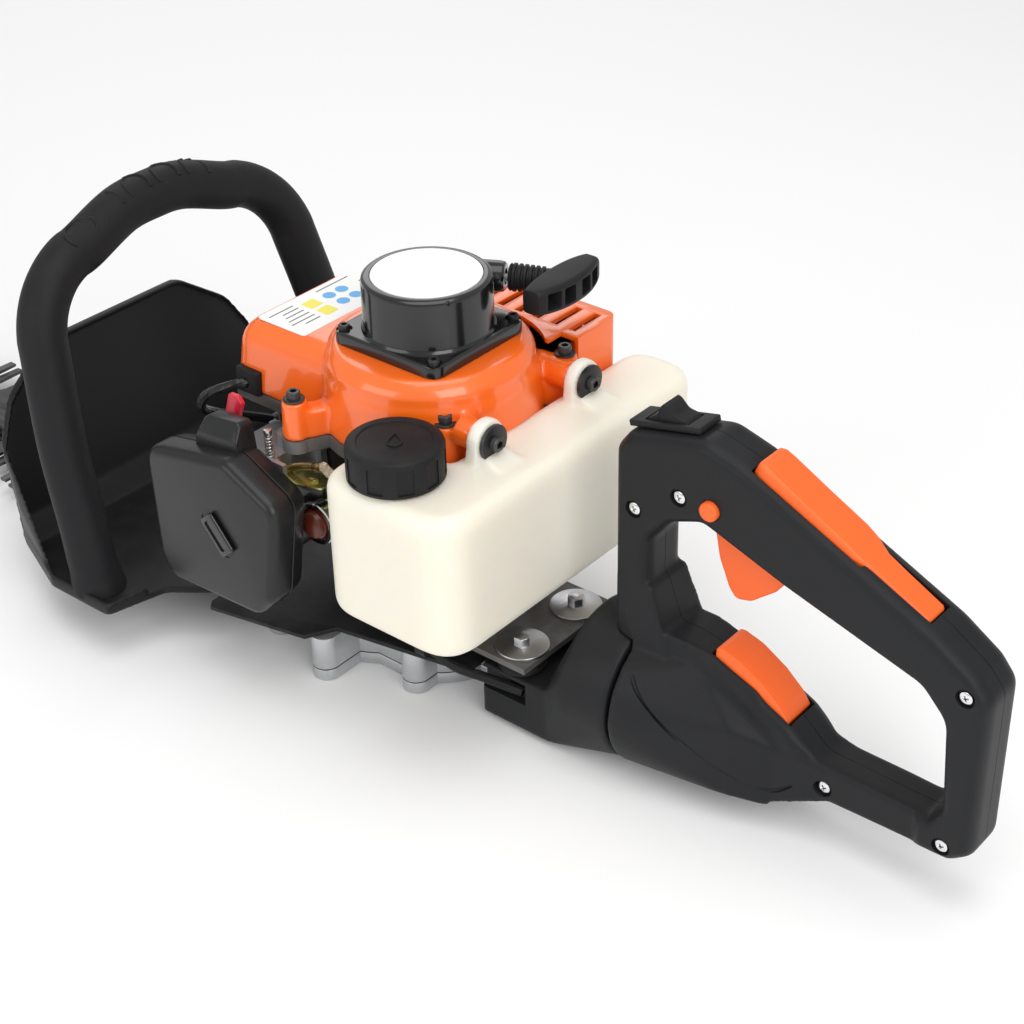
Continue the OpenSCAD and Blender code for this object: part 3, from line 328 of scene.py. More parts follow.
def makeWearGroup():
    # lighter worn edges and a faint dust on upward faces
    group, gin, gout = newGroup(
        "edgeWear",
        [("Color", "NodeSocketColor", None), ("Worn", "NodeSocketColor", None),
         ("Dust", "NodeSocketFloat", 0.03),
         ("Wear", "NodeSocketFloat", 0.3)],
        [("Color", "NodeSocketColor")])
    n, link = group.nodes, group.links
    shape = n.new("ShaderNodeNewGeometry")
    ramp = n.new("ShaderNodeMapRange")
    ramp.inputs["From Min"].default_value = 0.53
    ramp.inputs["From Max"].default_value = 0.62
    coord = n.new("ShaderNodeTexCoord")
    noise = n.new("ShaderNodeTexNoise")
    noise.inputs["Scale"].default_value = 55
    noise.inputs["Detail"].default_value = 5
    patch = n.new("ShaderNodeMapRange")
    patch.inputs["From Min"].default_value = 0.4
    patch.inputs["From Max"].default_value = 0.65
    both = n.new("ShaderNodeMath")
    both.operation = "MULTIPLY"
    amount = n.new("ShaderNodeMath")
    amount.operation = "MULTIPLY"
    mix = n.new("ShaderNodeMix")
    mix.data_type = "RGBA"
    split = n.new("ShaderNodeSeparateXYZ")
    up = n.new("ShaderNodeMapRange")
    up.inputs["From Min"].default_value = 0.3
    dusty = n.new("ShaderNodeMath")
    dusty.operation = "MULTIPLY"
    dustAmount = n.new("ShaderNodeMath")
    dustAmount.operation = "MULTIPLY"
    dustMix = n.new("ShaderNodeMix")
    dustMix.data_type = "RGBA"
    dustMix.inputs["B"].default_value = (0.55, 0.53, 0.5, 1)
    wire(link, [(shape, "Pointiness", ramp, "Value"), (coord, "Object", noise, "Vector"),
                (noise, "Fac", patch, "Value"), (ramp, 0, both, 0), (patch, 0, both, 1),
                (both, 0, amount, 0), (gin, "Wear", amount, 1), (amount, 0, mix, "Factor"),
                (gin, "Color", mix, "A"), (gin, "Worn", mix, "B"), (shape, "Normal", split, 0),
                (split, "Z", up, "Value"), (up, 0, dusty, 0), (patch, 0, dusty, 1),
                (dusty, 0, dustAmount, 0), (gin, "Dust", dustAmount, 1),
                (dustAmount, 0, dustMix, "Factor"), (mix, "Result", dustMix, "A"),
                (dustMix, "Result", gout, "Color")])
    return group


grainGroup = makeGrainGroup()
wearGroup = makeWearGroup()


def makeFinish(name, color, rough, spread=0.08, grain=900, bump=0.1, worn=None, wear=0.25, dust=0.02,
               metal=0.0,
               spec=0.5, coat=0.0, coatRough=0.05, skin=0.0, skinRadius=(1, 1, 1), skinScale=0.01,
               clear=0.0, ior=1.5):
    mat = bpy.data.materials.new(name)
    mat.use_nodes = True
    n, link = mat.node_tree.nodes, mat.node_tree.links
    shader = n["Principled BSDF"]
    grainNode = n.new("ShaderNodeGroup")
    grainNode.node_tree = grainGroup
    for label, value in (("Scale", grain), ("Rough", rough), ("Spread", spread)):
        grainNode.inputs[label].default_value = value
    wearNode = n.new("ShaderNodeGroup")
    wearNode.node_tree = wearGroup
    wearNode.inputs["Color"].default_value = (*color, 1)
    wearNode.inputs["Worn"].default_value = (*(worn or [min(1, c * 1.6 + 0.03) for c in color]), 1)
    wearNode.inputs["Wear"].default_value = wear
    wearNode.inputs["Dust"].default_value = dust
    bumpNode = n.new("ShaderNodeBump")
    bumpNode.inputs["Strength"].default_value = bump
    bumpNode.inputs["Distance"].default_value = 0.0004
    wire(link, [(grainNode, "Height", bumpNode, "Height"), (bumpNode, "Normal", shader, "Normal"),
                (grainNode, "Roughness", shader, "Roughness"), (wearNode, "Color", shader, "Base Color")])
    shader.inputs["Metallic"].default_value = metal
    shader.inputs["IOR"].default_value = ior
    shader.inputs["Specular IOR Level"].default_value = spec
    if coat:
        shader.inputs["Coat Weight"].default_value = coat
        shader.inputs["Coat Roughness"].default_value = coatRough
    if skin:
        shader.inputs["Subsurface Weight"].default_value = skin
        shader.inputs["Subsurface Radius"].default_value = skinRadius
        shader.inputs["Subsurface Scale"].default_value = skinScale
    if clear:
        shader.inputs["Transmission Weight"].default_value = clear
    return mat


# colour, roughness and its spread, grain, bump, worn colour, wear, dust, and what else the shader takes
finishFacts = {
    "orangeGloss": ((0.94, 0.145, 0.008), 0.3, 0.04, 120, 0.02, (1.0, 0.3, 0.08), 0.15, 0.0,
                    {"coat": 0.8, "coatRough": 0.06}),
    "orangeMatte": ((0.95, 0.135, 0.014), 0.42, 0.06, 1600, 0.10, (1.0, 0.34, 0.12), 0.2, 0.0, {}),
    "handlePlastic": ((0.012, 0.0125, 0.014), 0.46, 0.07, 1500, 0.22, (0.05, 0.05, 0.052), 0.3, 0.006,
                      {"spec": 0.22}),
    "blackGloss": ((0.006, 0.006, 0.0065), 0.2, 0.06, 300, 0.02, (0.03, 0.03, 0.03), 0.2, 0.004,
                   {"coat": 0.5, "coatRough": 0.08, "spec": 0.4}),
    "filterPlastic": ((0.014, 0.0145, 0.015), 0.3, 0.06, 1300, 0.06, (0.05, 0.05, 0.05), 0.2, 0.01,
                      {"spec": 0.35}),
    "blackPlastic": ((0.012, 0.012, 0.013), 0.5, 0.08, 1500, 0.2, (0.045, 0.045, 0.046), 0.3, 0.006,
                     {"spec": 0.22}),
    "guardPlastic": ((0.012, 0.012, 0.013), 0.42, 0.08, 700, 0.12, (0.05, 0.05, 0.05), 0.3, 0.01,
                     {"spec": 0.22}),
    "tubeGrip": ((0.012, 0.0122, 0.0135), 0.55, 0.07, 1900, 0.3, (0.04, 0.04, 0.042), 0.2, 0.01,
                 {"spec": 0.2}),
    "tankPlastic": ((0.85, 0.81, 0.70), 0.36, 0.07, 420, 0.05, (0.92, 0.9, 0.82), 0.1, 0.0,
                    {"skin": 0.9, "skinRadius": (1.0, 0.85, 0.6), "skinScale": 0.012}),
    "capPlastic": ((0.011, 0.011, 0.012), 0.52, 0.08, 1300, 0.2, (0.04, 0.04, 0.04), 0.3, 0.008,
                   {"spec": 0.22}),
    "castAlloy": ((0.56, 0.57, 0.58), 0.42, 0.14, 650, 0.5, (0.8, 0.8, 0.81), 0.4, 0.05, {"metal": 0.9}),
    "greyCast": ((0.12, 0.115, 0.108), 0.55, 0.12, 600, 0.5, (0.3, 0.3, 0.3), 0.3, 0.03, {"metal": 0.5}),
    "blackSteel": ((0.012, 0.012, 0.0125), 0.34, 0.1, 500, 0.12, (0.2, 0.2, 0.21), 0.5, 0.006,
                   {"metal": 0.1, "spec": 0.35}),
    "sheetSteel": ((0.013, 0.013, 0.014), 0.42, 0.1, 900, 0.2, (0.1, 0.1, 0.1), 0.4, 0.01, {"spec": 0.25}),
    "steel": ((0.55, 0.55, 0.56), 0.3, 0.12, 500, 0.15, (0.8, 0.8, 0.8), 0.3, 0.02, {"metal": 1.0}),
    "chrome": ((0.78, 0.78, 0.79), 0.16, 0.08, 300, 0.05, (0.9, 0.9, 0.9), 0.2, 0.0, {"metal": 1.0}),
    "brass": ((0.72, 0.5, 0.2), 0.25, 0.1, 400, 0.1, (0.9, 0.72, 0.4), 0.3, 0.0, {"metal": 1.0}),
    "plated": ((0.55, 0.56, 0.2), 0.28, 0.12, 300, 0.05, (0.7, 0.7, 0.4), 0.3, 0.0, {"metal": 0.9}),
    "redPlastic": ((0.62, 0.02, 0.045), 0.3, 0.06, 800, 0.05, (0.8, 0.1, 0.12), 0.2, 0.0, {}),
    "whiteLabel": ((0.84, 0.84, 0.83), 0.3, 0.04, 300, 0.01, (0.9, 0.9, 0.9), 0.1, 0.0, {}),
    "labelGrey": ((0.1, 0.1, 0.1), 0.35, 0.04, 300, 0.01, (0.2, 0.2, 0.2), 0.1, 0.0, {}),
    "labelBlue": ((0.06, 0.36, 0.72), 0.35, 0.04, 300, 0.01, (0.2, 0.5, 0.8), 0.1, 0.0, {}),
    "labelYellow": ((0.82, 0.72, 0.04), 0.35, 0.04, 300, 0.01, (0.9, 0.8, 0.2), 0.1, 0.0, {}),
    "rubber": ((0.012, 0.012, 0.012), 0.6, 0.08, 1200, 0.2, (0.05, 0.05, 0.05), 0.3, 0.01, {"spec": 0.2}),
    "leadRubber": ((0.01, 0.01, 0.01), 0.3, 0.08, 500, 0.05, (0.04, 0.04, 0.04), 0.2, 0.0, {"spec": 0.4}),
    "bulbRubber": ((0.16, 0.03, 0.015), 0.22, 0.06, 400, 0.03, (0.3, 0.1, 0.06), 0.2, 0.0, {"clear": 0.25}),
    "clearHose": ((0.86, 0.8, 0.6), 0.12, 0.03, 300, 0.02, (0.9, 0.86, 0.7), 0.1, 0.0,
                  {"clear": 0.8, "ior": 1.42}),
    "ropeFibre": ((0.75, 0.74, 0.7), 0.8, 0.1, 2400, 0.8, (0.9, 0.9, 0.86), 0.2, 0.02, {}),
    "foam": ((0.03, 0.03, 0.033), 0.9, 0.05, 900, 0.9, (0.06, 0.06, 0.06), 0.2, 0.0, {}),
    "ceramic": ((0.82, 0.81, 0.78), 0.15, 0.05, 300, 0.02, (0.9, 0.9, 0.88), 0.1, 0.0, {}),
    "mufflerSteel": ((0.32, 0.30, 0.28), 0.42, 0.15, 300, 0.2, (0.5, 0.48, 0.45), 0.4, 0.02, {"metal": 0.9}),
    "whitePlastic": ((0.7, 0.7, 0.66), 0.45, 0.06, 900, 0.1, (0.85, 0.85, 0.8), 0.2, 0.0, {})}

finish = {name: makeFinish(name, *facts[:-1], **facts[-1]) for name, facts in finishFacts.items()}

print("finishes made")

# camera, light and floor

cameraFacts = {"place": (-0.7139, 0.7659, 0.7718), "turn": 50.93, "dip": 32.36, "roll": -0.725,
               "lens": 70.197,
               "shift": (-0.0403, -0.0106)}


def makeCamera(facts):
    data = bpy.data.cameras.new("camera")
    data.sensor_width = 36
    data.lens = facts["lens"]
    data.shift_x, data.shift_y = facts["shift"]
    data.clip_start, data.clip_end = 0.05, 50
    turn, dip, roll = (math.radians(facts[k]) for k in ("turn", "dip", "roll"))
    level = Vector((math.cos(-turn), math.sin(-turn), 0))
    up = Vector((0, 0, 1))
    side = level.cross(up)
    look = math.cos(dip) * level - math.sin(dip) * up
    over = side.cross(look)
    right = math.cos(roll) * side + math.sin(roll) * over
    top = -math.sin(roll) * side + math.cos(roll) * over
    camera = bpy.data.objects.new("camera", data)
    camera.matrix_world = Matrix.Translation(facts["place"]) @ Matrix((right, top,
            -look)).transposed().to_4x4()
    bpy.context.scene.collection.objects.link(camera)
    bpy.context.scene.camera = camera


def makeLight(name, place, target, size, power, tint=(1, 1, 1)):
    data = bpy.data.lights.new(name, "AREA")
    data.shape = "RECTANGLE"
    data.size, data.size_y = size
    data.energy = power
    data.color = tint
    light = bpy.data.objects.new(name, data)
    light.location = place
    light.rotation_mode = "QUATERNION"
    light.rotation_quaternion = (Vector(target) - Vector(place)).to_track_quat("-Z", "Y")
    bpy.context.scene.collection.objects.link(light)


def makeStudio():
    world = bpy.data.worlds.new("studio")
    world.use_nodes = True
    sky = world.node_tree.nodes["Background"]
    sky.inputs["Color"].default_value = (1, 1, 1, 1)
    sky.inputs["Strength"].default_value = 0.58
    bpy.context.scene.world = world
    centre = (0.0, 0.0, 0.1)
    makeLight("topLight", (-0.3, 0.2, 2.2), centre, (1.6, 1.6), 16)
    makeLight("keyLight", (-1.9, 0.9, 1.5), centre, (1.2, 1.6), 22)
    makeLight("fillLight", (0.6, 2.2, 1.1), centre, (1.6, 1.2), 12)
    makeLight("backLight", (1.6, -1.4, 1.4), centre, (1.4, 1.0), 6)
    floorMesh = bmesh.new()
    bmesh.ops.create_grid(floorMesh, x_segments=1, y_segments=1, size=6000)
    floor = makeObject("floor", floorMesh)
    for v in floor.data.vertices:
        v.co.z = cadBox[0].z - 0.0005
    mat = bpy.data.materials.new("paleFloor")
    mat.use_nodes = True
    mat.node_tree.nodes["Principled BSDF"].inputs["Base Color"].default_value = (0.96, 0.96, 0.96, 1)
    mat.node_tree.nodes["Principled BSDF"].inputs["Roughness"].default_value = 0.75
    mat.node_tree.nodes["Principled BSDF"].inputs["Specular IOR Level"].default_value = 0.2
    floor.data.materials.append(mat)
    bpy.context.scene.view_settings.view_transform = "Standard"


makeCamera(cameraFacts)
makeStudio()
print("camera and studio made")

# finishes of the solids that stay as they are

nodeFinish = {
    "base_plate": "sheetSteel", "gearbox_housing": "castAlloy", "gearbox_gasket": "foam",
              "gearbox_cover": "castAlloy",
    "cover_bolts": "steel", "guide_bar": "blackSteel", "blade_bolts": "steel", "upper_blade": "blackSteel",
    "lower_blade": "blackSteel", "cam_gear": "steel", "clutch_drum": "steel", "clutch_shoes": "castAlloy",
    "crankshaft": "steel", "connecting_rod": "castAlloy", "piston": "castAlloy", "crankcase": "greyCast",
    "cylinder": "greyCast", "flywheel_fan": "whitePlastic", "ignition_coil": "blackPlastic",
              "spark_plug": "ceramic",
    "ignition_lead": "leadRubber", "muffler": "mufflerSteel", "muffler_guard": "orangeGloss",
    "engine_cover": "orangeGloss", "flange_screws": "blackSteel", "rating_label": "whiteLabel",
    "starter_housing": "blackGloss", "starter_badge": "whiteLabel", "starter_screws": "blackSteel",
    "starter_reel": "whitePlastic", "starter_handle": "blackPlastic", "starter_rope": "ropeFibre",
    "carburettor": "castAlloy", "filter_case": "filterPlastic", "filter_element": "foam",
    "filter_cover": "filterPlastic", "filter_knob": "blackGloss", "choke_lever": "redPlastic",
              "primer_ring": "chrome",
    "primer_bulb": "bulbRubber", "fuel_tank": "tankPlastic", "fuel_cap": "capPlastic",
              "fuel_line": "clearHose",
    "fuel_elbow": "brass", "throttle_cable": "blackPlastic", "cable_clip": "blackPlastic",
    "hub_bracket": "handlePlastic", "av_rubbers": "rubber", "av_bolts": "steel",
              "handle_left": "handlePlastic",
    "handle_right": "handlePlastic", "handle_screws": "chrome", "throttle_trigger": "orangeMatte",
    "lockout_lever": "orangeMatte", "throttle_lock_button": "orangeMatte", "swivel_latch": "orangeMatte",
    "switch_bezel": "blackPlastic", "switch_rocker": "blackPlastic", "front_handle": "tubeGrip",
    "hand_guard": "guardPlastic"}

for label, finishName in nodeFinish.items():
    node = nodes[label]
    node.data.materials.clear()
    node.data.materials.append(finish[finishName])
    for face in node.data.polygons:
        face.material_index = 0
print("solids finished")

# rear handle

handleFacts = {
    "outline": [(-149, 90), (-149, 213), (-157, 224), (-208, 236), (-233, 229), (-353, 173), (-376, 158),
                (-386, 146),
                (-386, 44), (-374, 35), (-276, 34), (-240, 50), (-190, 60)],
    "corners": [2, 5, 10, 16, 18, 18, 10, 12, 9, 9, 14, 20, 5],
    "opening": [(-173, 100), (-173, 160), (-187, 176), (-208, 184), (-262, 165), (-346, 140), (-361, 124),
                (-365, 68), (-358, 57), (-288, 59), (-270, 75), (-218, 100)],
    "openCorners": [8, 10, 8, 10, 20, 14, 16, 5, 4, 12, 10, 4],
    "half": 18, "barHalf": 14, "voxel": 1.35, "seam": 0.35,
    "screws": [(-163.5, 178, 18), (-193.4, 196.7, 18), (-372.6, 146, 18), (-369, 45, 18), (-293.4, 43.2, 14)]}


def offsetOutline(points, distance):
    # moves each point of a counter-clockwise outline inwards
    out = []
    count = len(points)
    area = sum(points[i][0] * points[(i + 1) % count][1] - points[(i + 1) % count][0] * points[i][1]
               for i in range(count))
    sign = 1 if area > 0 else -1
    for i in range(count):
        a, b, c = (Vector(points[(i + k) % count]) for k in (-1, 0, 1))
        u, v = (b - a).normalized(), (c - b).normalized()
        n = Vector((-u.y - v.y, u.x + v.x)) * sign
        if n.length < 1e-6:
            n = Vector((-u.y, u.x)) * sign
        n.normalize()
        across = max(0.5, n.dot(Vector((-u.y, u.x)) * sign))
        out.append(tuple(b + n * distance / across))
    return out


def addFrame(bm, outer, inner, levels, axis="y"):
    # a loop-shaped solid; levels are (height, inset) from one side to the other
    sides = []
    for outline, way in ((outer, 1), (inner, -1)):
        rings = [[bm.verts.new(inSpace(p, h, axis)) for p in offsetOutline(outline, way * inset)] for h,
                 inset in levels]
        for a, b in zip(rings, rings[1:]):
            for i in range(len(a)):
                j = (i + 1) % len(a)
                bm.faces.new((a[i], a[j], b[j], b[i]))
        sides.append(rings)
    for end in (0, -1):
        edges = []
        for rings in sides:
            ring = rings[end]
            edges += [bm.edges.get((ring[i], ring[(i + 1) % len(ring)])) for i in range(len(ring))]
        bmesh.ops.triangle_fill(bm, edges=edges, use_beauty=True)
    bmesh.ops.recalc_face_normals(bm, faces=bm.faces)


def addHull(bm, points):
    verts = [bm.verts.new(p) for p in points]
    made = bmesh.ops.convex_hull(bm, input=verts)
    loose = [g for g in made["geom_interior"] + made["geom_unused"] if isinstance(g, bmesh.types.BMVert)]
    bmesh.ops.delete(bm, geom=list(set(loose)), context="VERTS")


def discPoints(x, r, y=0.0, z=47.0, steps=40):
    return [(x, y + r * math.cos(2 * math.pi * k / steps), z + r * math.sin(2 * math.pi * k / steps))
            for k in range(steps)]


def boxPoints(x0, x1, y0, y1, z0, z1):
    return [(x, y, z) for x in (x0, x1) for y in (y0, y1) for z in (z0, z1)]


def soften(width, deep):
    # levels of a rounded side: (height, inset) pairs
    return [(-width, deep), (-width + 0.6, deep * 0.72), (-width + 1.8, deep * 0.45),
            (-width + 4, deep * 0.2),
            (-width + 7.5, 0), (width - 7.5, 0), (width - 4, deep * 0.2), (width - 1.8, deep * 0.45),
            (width - 0.6, deep * 0.72), (width, deep)]


def keepHalf(piece, point, normal):
    # keeps the side that the normal points to, and closes the cut
    bm = bmesh.new()
    bm.from_mesh(piece.data)
    made = bmesh.ops.bisect_plane(bm, geom=bm.verts[:] + bm.edges[:] + bm.faces[:], dist=1e-7, plane_co=point,
                                  plane_no=normal, clear_inner=True)
    rim = [e for e in made["geom_cut"] if isinstance(e, bmesh.types.BMEdge)]
    bmesh.ops.triangle_fill(bm, edges=rim, use_beauty=True)
    bmesh.ops.recalc_face_normals(bm, faces=bm.faces)
    bm.to_mesh(piece.data)
    bm.free()


def leverPlace():
    # the slope of the grip's back, where the lever lies
    return Matrix.Translation((-336, 0, 172)) @ Matrix.Rotation(math.radians(-25), 4, "Y")


def makeRearHandle(f):
    outer = rounded(f["outline"], f["corners"], 5)
    inner = rounded(f["opening"], f["openCorners"], 5)
    loop = build("handleLoop", lambda bm: addFrame(bm, outer, inner, soften(f["half"], 5.5)))
    # the lower bar is narrower than the grip
    for side in (-1, 1):
        trim = build("barTrim", lambda bm: addHull(
            bm, boxPoints(-350, -284, side * (f["barHalf"]), side * 30, 25, 66)
            + boxPoints(-356, -270, side * (f["barHalf"] + 5), side * 30, 25, 70)))
        cut(loop, trim)
    def base(bm):
        addHull(bm, discPoints(-167, 46.2) + discPoints(-171, 46.5) + discPoints(-178, 45)
                + boxPoints(-240, -238, -29, 29, 20, 66) + boxPoints(-262, -260, -20.5, 20.5, 18, 60)
                + boxPoints(-210, -208, -17, 17, 88, 92))
        addHull(bm, boxPoints(-200, -168, -17, 17, 60, 103) + boxPoints(-212, -208, -15, 15, 90, 101)
                + boxPoints(-268, -262, -13.5, 13.5, 40, 70) + boxPoints(-246, -240, -14.5, 14.5, 60, 88)
                + boxPoints(-180, -176, -19, 19, 50, 84))
        addHull(bm, boxPoints(-262, -258, -20, 20, 20, 58) + boxPoints(-300, -298, -13.5, 13.5, 36, 57.5)
                + boxPoints(-284, -282, -14, 14, 35, 60))
        # foot of the front post
        addHull(bm, boxPoints(-176, -152, -17.5, 17.5, 100, 130) + boxPoints(-190, -166.8, -21, 21, 70, 92))
    block = build("handleBase", base)
    whole = joined("handleWhole", [loop, block])
    moulded(whole, f["voxel"], 7, 0.6)
    # everything pressed or cut into the shells, as one set of tools
    def tools(bm):
        for side in (-1, 1):
            path = smoothPath([(-170, side * 30.5, 88), (-181, side * 36.5, 72), (-200, side * 38, 58),
                               (-225, side * 34, 42), (-250, side * 26.5, 31), (-264, side * 20, 30),
                               (-278, side * 15.5, 40)], 8)
            addTube(bm, path, 1.5, 10)
        addPrism(bm, rectOutline(-60, -20, 60, 92), -166.5, -140, "x")
        addCylinder(bm, 22, -200, -166, (0, 0, 47), "x", 48)
        addPrism(bm, [(-266, 158), (-204, 178), (-204, 200), (-266, 190)], -7, 7, "y")
        slope = leverPlace()
        turnVerts(addPrism(bm, rectOutline(38.2, -4, 114.6, 22), -12.5, 12.5, "y"), slope)
        turnVerts(addPrism(bm, rectOutline(-7, -4, 38, 22), -9.7, 9.7, "y"), slope)
        addPrism(bm, [(-269.5, 54), (-215.2, 82), (-215.4, 112), (-269.5, 90)], -12.6, 12.6, "y")
        addPrism(bm, rectOutline(-196, 210, -160, 245), -8, 8, "y")
        addCylinder(bm, 6.3, 4.5, 30, (-214.4, 0, 197), "y", 40)
        for x, z, face in f["screws"]:
            addCylinder(bm, 5.4, face - 2.6, face + 20, (x, 0, z), "y", 40, r2=6.2)
    # two shells with a fine parting line
    for name, side, node in (("handleShellLeft", 1, "handle_left"), ("handleShellRight", -1, "handle_right")):
        shell = bpy.data.objects.new(name, whole.data.copy())
        shell.data.name = name
        bpy.context.scene.collection.objects.link(shell)
        keepHalf(shell, (0, side * f["seam"] * mm / 2, 0), (0, side, 0))
        cut(shell, build("shellTools", tools))
        dress(shell, 38, "handlePlastic", "rear_handle", (node,))
    bpy.data.objects.remove(whole)


makeRearHandle(handleFacts)
print("rear handle made")


def makeScrewTree():
    # Geometry Nodes: the same screw at every point of a base mesh, with a named turn and material
    tree = bpy.data.node_groups.new("screwsAtPoints", "GeometryNodeTree")
    tree.interface.new_socket("Geometry", in_out="INPUT", socket_type="NodeSocketGeometry")
    tree.interface.new_socket("Screw", in_out="INPUT", socket_type="NodeSocketObject")
    tree.interface.new_socket("Turn", in_out="INPUT", socket_type="NodeSocketRotation")
    tree.interface.new_socket("Material", in_out="INPUT", socket_type="NodeSocketMaterial")
    tree.interface.new_socket("Geometry", in_out="OUTPUT", socket_type="NodeSocketGeometry")
    n, link = tree.nodes, tree.links
    gin, gout = n.new("NodeGroupInput"), n.new("NodeGroupOutput")
    info = n.new("GeometryNodeObjectInfo")
    toPoints = n.new("GeometryNodeMeshToPoints")
    place = n.new("GeometryNodeInstanceOnPoints")
    real = n.new("GeometryNodeRealizeInstances")
    paint = n.new("GeometryNodeSetMaterial")
    wire(link, [(gin, "Geometry", toPoints, "Mesh"), (gin, "Screw", info, "Object"),
                (toPoints, "Points", place, "Points"), (info, "Geometry", place, "Instance"),
                (gin, "Turn", place, "Rotation"), (place, "Instances", real, "Geometry"),
                (real, "Geometry", paint, "Geometry"), (gin, "Material", paint, "Material"),
                (paint, "Geometry", gout, "Geometry")])
    return tree


screwTree = makeScrewTree()


def screwsAt(name, template, points, material, turn=(0, 0, 0)):
    # template is an object in metres with its axis along z; it is used up
    mesh = bpy.data.meshes.new(name)
    mesh.from_pydata([[v * mm for v in p] for p in points], [], [])
    piece = bpy.data.objects.new(name, mesh)
    bpy.context.scene.collection.objects.link(piece)
    step = piece.modifiers.new("screws", "NODES")
    step.node_group = screwTree
    ids = {s.name: s.identifier for s in screwTree.interface.items_tree if s.in_out == "INPUT"}
    step[ids["Screw"]] = template
    step[ids["Turn"]] = [math.radians(v) for v in turn]
    step[ids["Material"]] = material
    bake(piece)
    bpy.data.objects.remove(template)
    return piece


def phillipsScrew(r, height):
    head = build("screwHead", lambda bm: addLathe(bm, [(0, -6), (r * 0.5, -6), (r * 0.5, 0), (r, 0),
                                                       (r, height * 0.35),
                                                       (r * 0.9, height * 0.68), (r * 0.6, height * 0.93),
                                                       (0, height)], steps=40))
    for spin in (20, 110):
        cut(head, build("cross", lambda bm: turnVerts(
            addLoft(bm, [[(-r * 0.62, -0.55, height + 1), (r * 0.62, -0.55, height + 1),
                          (r * 0.62, 0.55, height + 1),
                          (-r * 0.62, 0.55, height + 1)],
                         [(-r * 0.25, -0.3, height - 1.9), (r * 0.25, -0.3, height - 1.9),
                          (r * 0.25, 0.3, height - 1.9),
                          (-r * 0.25, 0.3, height - 1.9)]]), Matrix.Rotation(math.radians(spin), 4, "Z"))))
    return head


silverScrews = screwsAt("handleScrewsSilver", phillipsScrew(4.1, 2.4),
                        [(x, face - 2.6, z) for x, z, face in handleFacts["screws"]], finish["chrome"],
                        (-90, 0, 0))
dress(silverScrews, 30, "chrome", "rear_handle", ("handle_screws",))


# hand controls on the rear handle

controlFacts = {"triggerEdge": 1.8, "leverEdge": 0.8, "latchEdge": 1.8}


def makeControls(f):
    trigger = build("throttleTriggerBody", lambda bm: addPrism(
        bm, rounded([(-208, 186), (-213, 160), (-220, 143), (-225, 137), (-235, 139.6), (-250, 152),
                     (-258, 163),
                     (-252, 180), (-226, 200), (-216, 197)], [2, 14, 9, 5, 9, 9, 4, 4, 3, 3], 8), -6, 6, "y"))
    edged(trigger, f["triggerEdge"], 3, 50)
    dress(trigger, 40, "orangeMatte", "throttle_trigger", ("throttle_trigger",))

    turn = leverPlace()
    # long pad: wide and thick towards the front, stepping down to a narrow tail
    stations = [(-6, 7.5, -1, 6.5), (-4, 8.8, -1.5, 7.3), (20, 9.1, 0, 8.2), (34, 9.3, 0.5, 9.0),
                (44, 11.8, 1.2, 10.6),
                (52, 12, 1.8, 12), (80, 12, 3, 13.2), (104, 12, 4.4, 14.6), (110, 11.6, 4.6, 14.9),
                (113.6, 10, 5.5, 14)]
    rings = []
    for x, half, low, high in stations:
        shape = rounded([(-half, low), (half, low), (half, high), (-half, high)], [0.8, 0.8, 2.2, 2.2], 3)
        rings.append([(x, p[0], p[1]) for p in shape])
    lever = build("lockoutLeverPad", lambda bm: turnVerts(addLoft(bm, rings), turn))
    edged(lever, f["leverEdge"], 2, 50)
    dress(lever, 45, "orangeMatte", "lockout_lever", ("lockout_lever",))

    latch = build("swivelLatchPad", lambda bm: addPrism(
        bm, rounded([(-217, 96), (-218, 104.5), (-222, 105), (-234, 101.5), (-250, 92), (-262, 81.5),
                     (-267, 74),
                     (-264, 66), (-257, 66), (-240, 80)], [1, 2, 4, 12, 14, 8, 2, 2, 2, 2], 5), -12, 12, "y"))
    edged(latch, f["latchEdge"], 3, 50)
    dress(latch, 40, "orangeMatte", "swivel_latch", ("swivel_latch",))

    button = build("lockButton", lambda bm: addLathe(
        bm, [(0, 10.6), (5.7, 10.6), (5.8, 19.6), (5.5, 20.7), (4.8, 21.3), (3.6, 21.5), (0, 21.5)],
        (-214.4, 0, 197), "y", 48))
    dress(button, 40, "orangeMatte", "throttle_lock_button", ("throttle_lock_button",))

    tilt = Matrix.Translation((-178, 0, 229)) @ Matrix.Rotation(math.radians(13), 4, "Y")
    bezel = build("switchBezelFrame", lambda bm: turnVerts(addPrism(
        bm, rounded(rectOutline(-24, -10, 24, 10), 1.2, 3), 0.8, 4.6), tilt))
    edged(bezel, 0.7, 2, 50)
    cut(bezel, build("window", lambda bm: turnVerts(addPrism(bm, rectOutline(-15.2, -7.3, 15.2, 7.3), -5,
                                                             12), tilt)))
    dress(bezel, 35, "blackPlastic", "rear_handle", ("switch_bezel",))
    rocker = build("switchRockerBody", lambda bm: turnVerts(addPrism(
        bm, rounded([(-14, 3.6), (-12.6, 5.6), (-6, 8.0), (-2.2, 13.6), (0, 15), (2.2, 13.6), (6, 8.0),
                     (12.6, 5.6),
                     (14, 3.6), (10, -5), (-10, -5)], [0.5, 1.5, 5, 2, 1.0, 2, 5, 1.5, 0.5, 1, 1], 4), -6.9,
                             6.9, "y"),
        tilt))
    edged(rocker, 0.5, 2, 50)
    dress(rocker, 40, "blackPlastic", "switch_rocker", ("switch_rocker",))


makeControls(controlFacts)
print("hand controls made")


# fuel tank, its lugs and cap

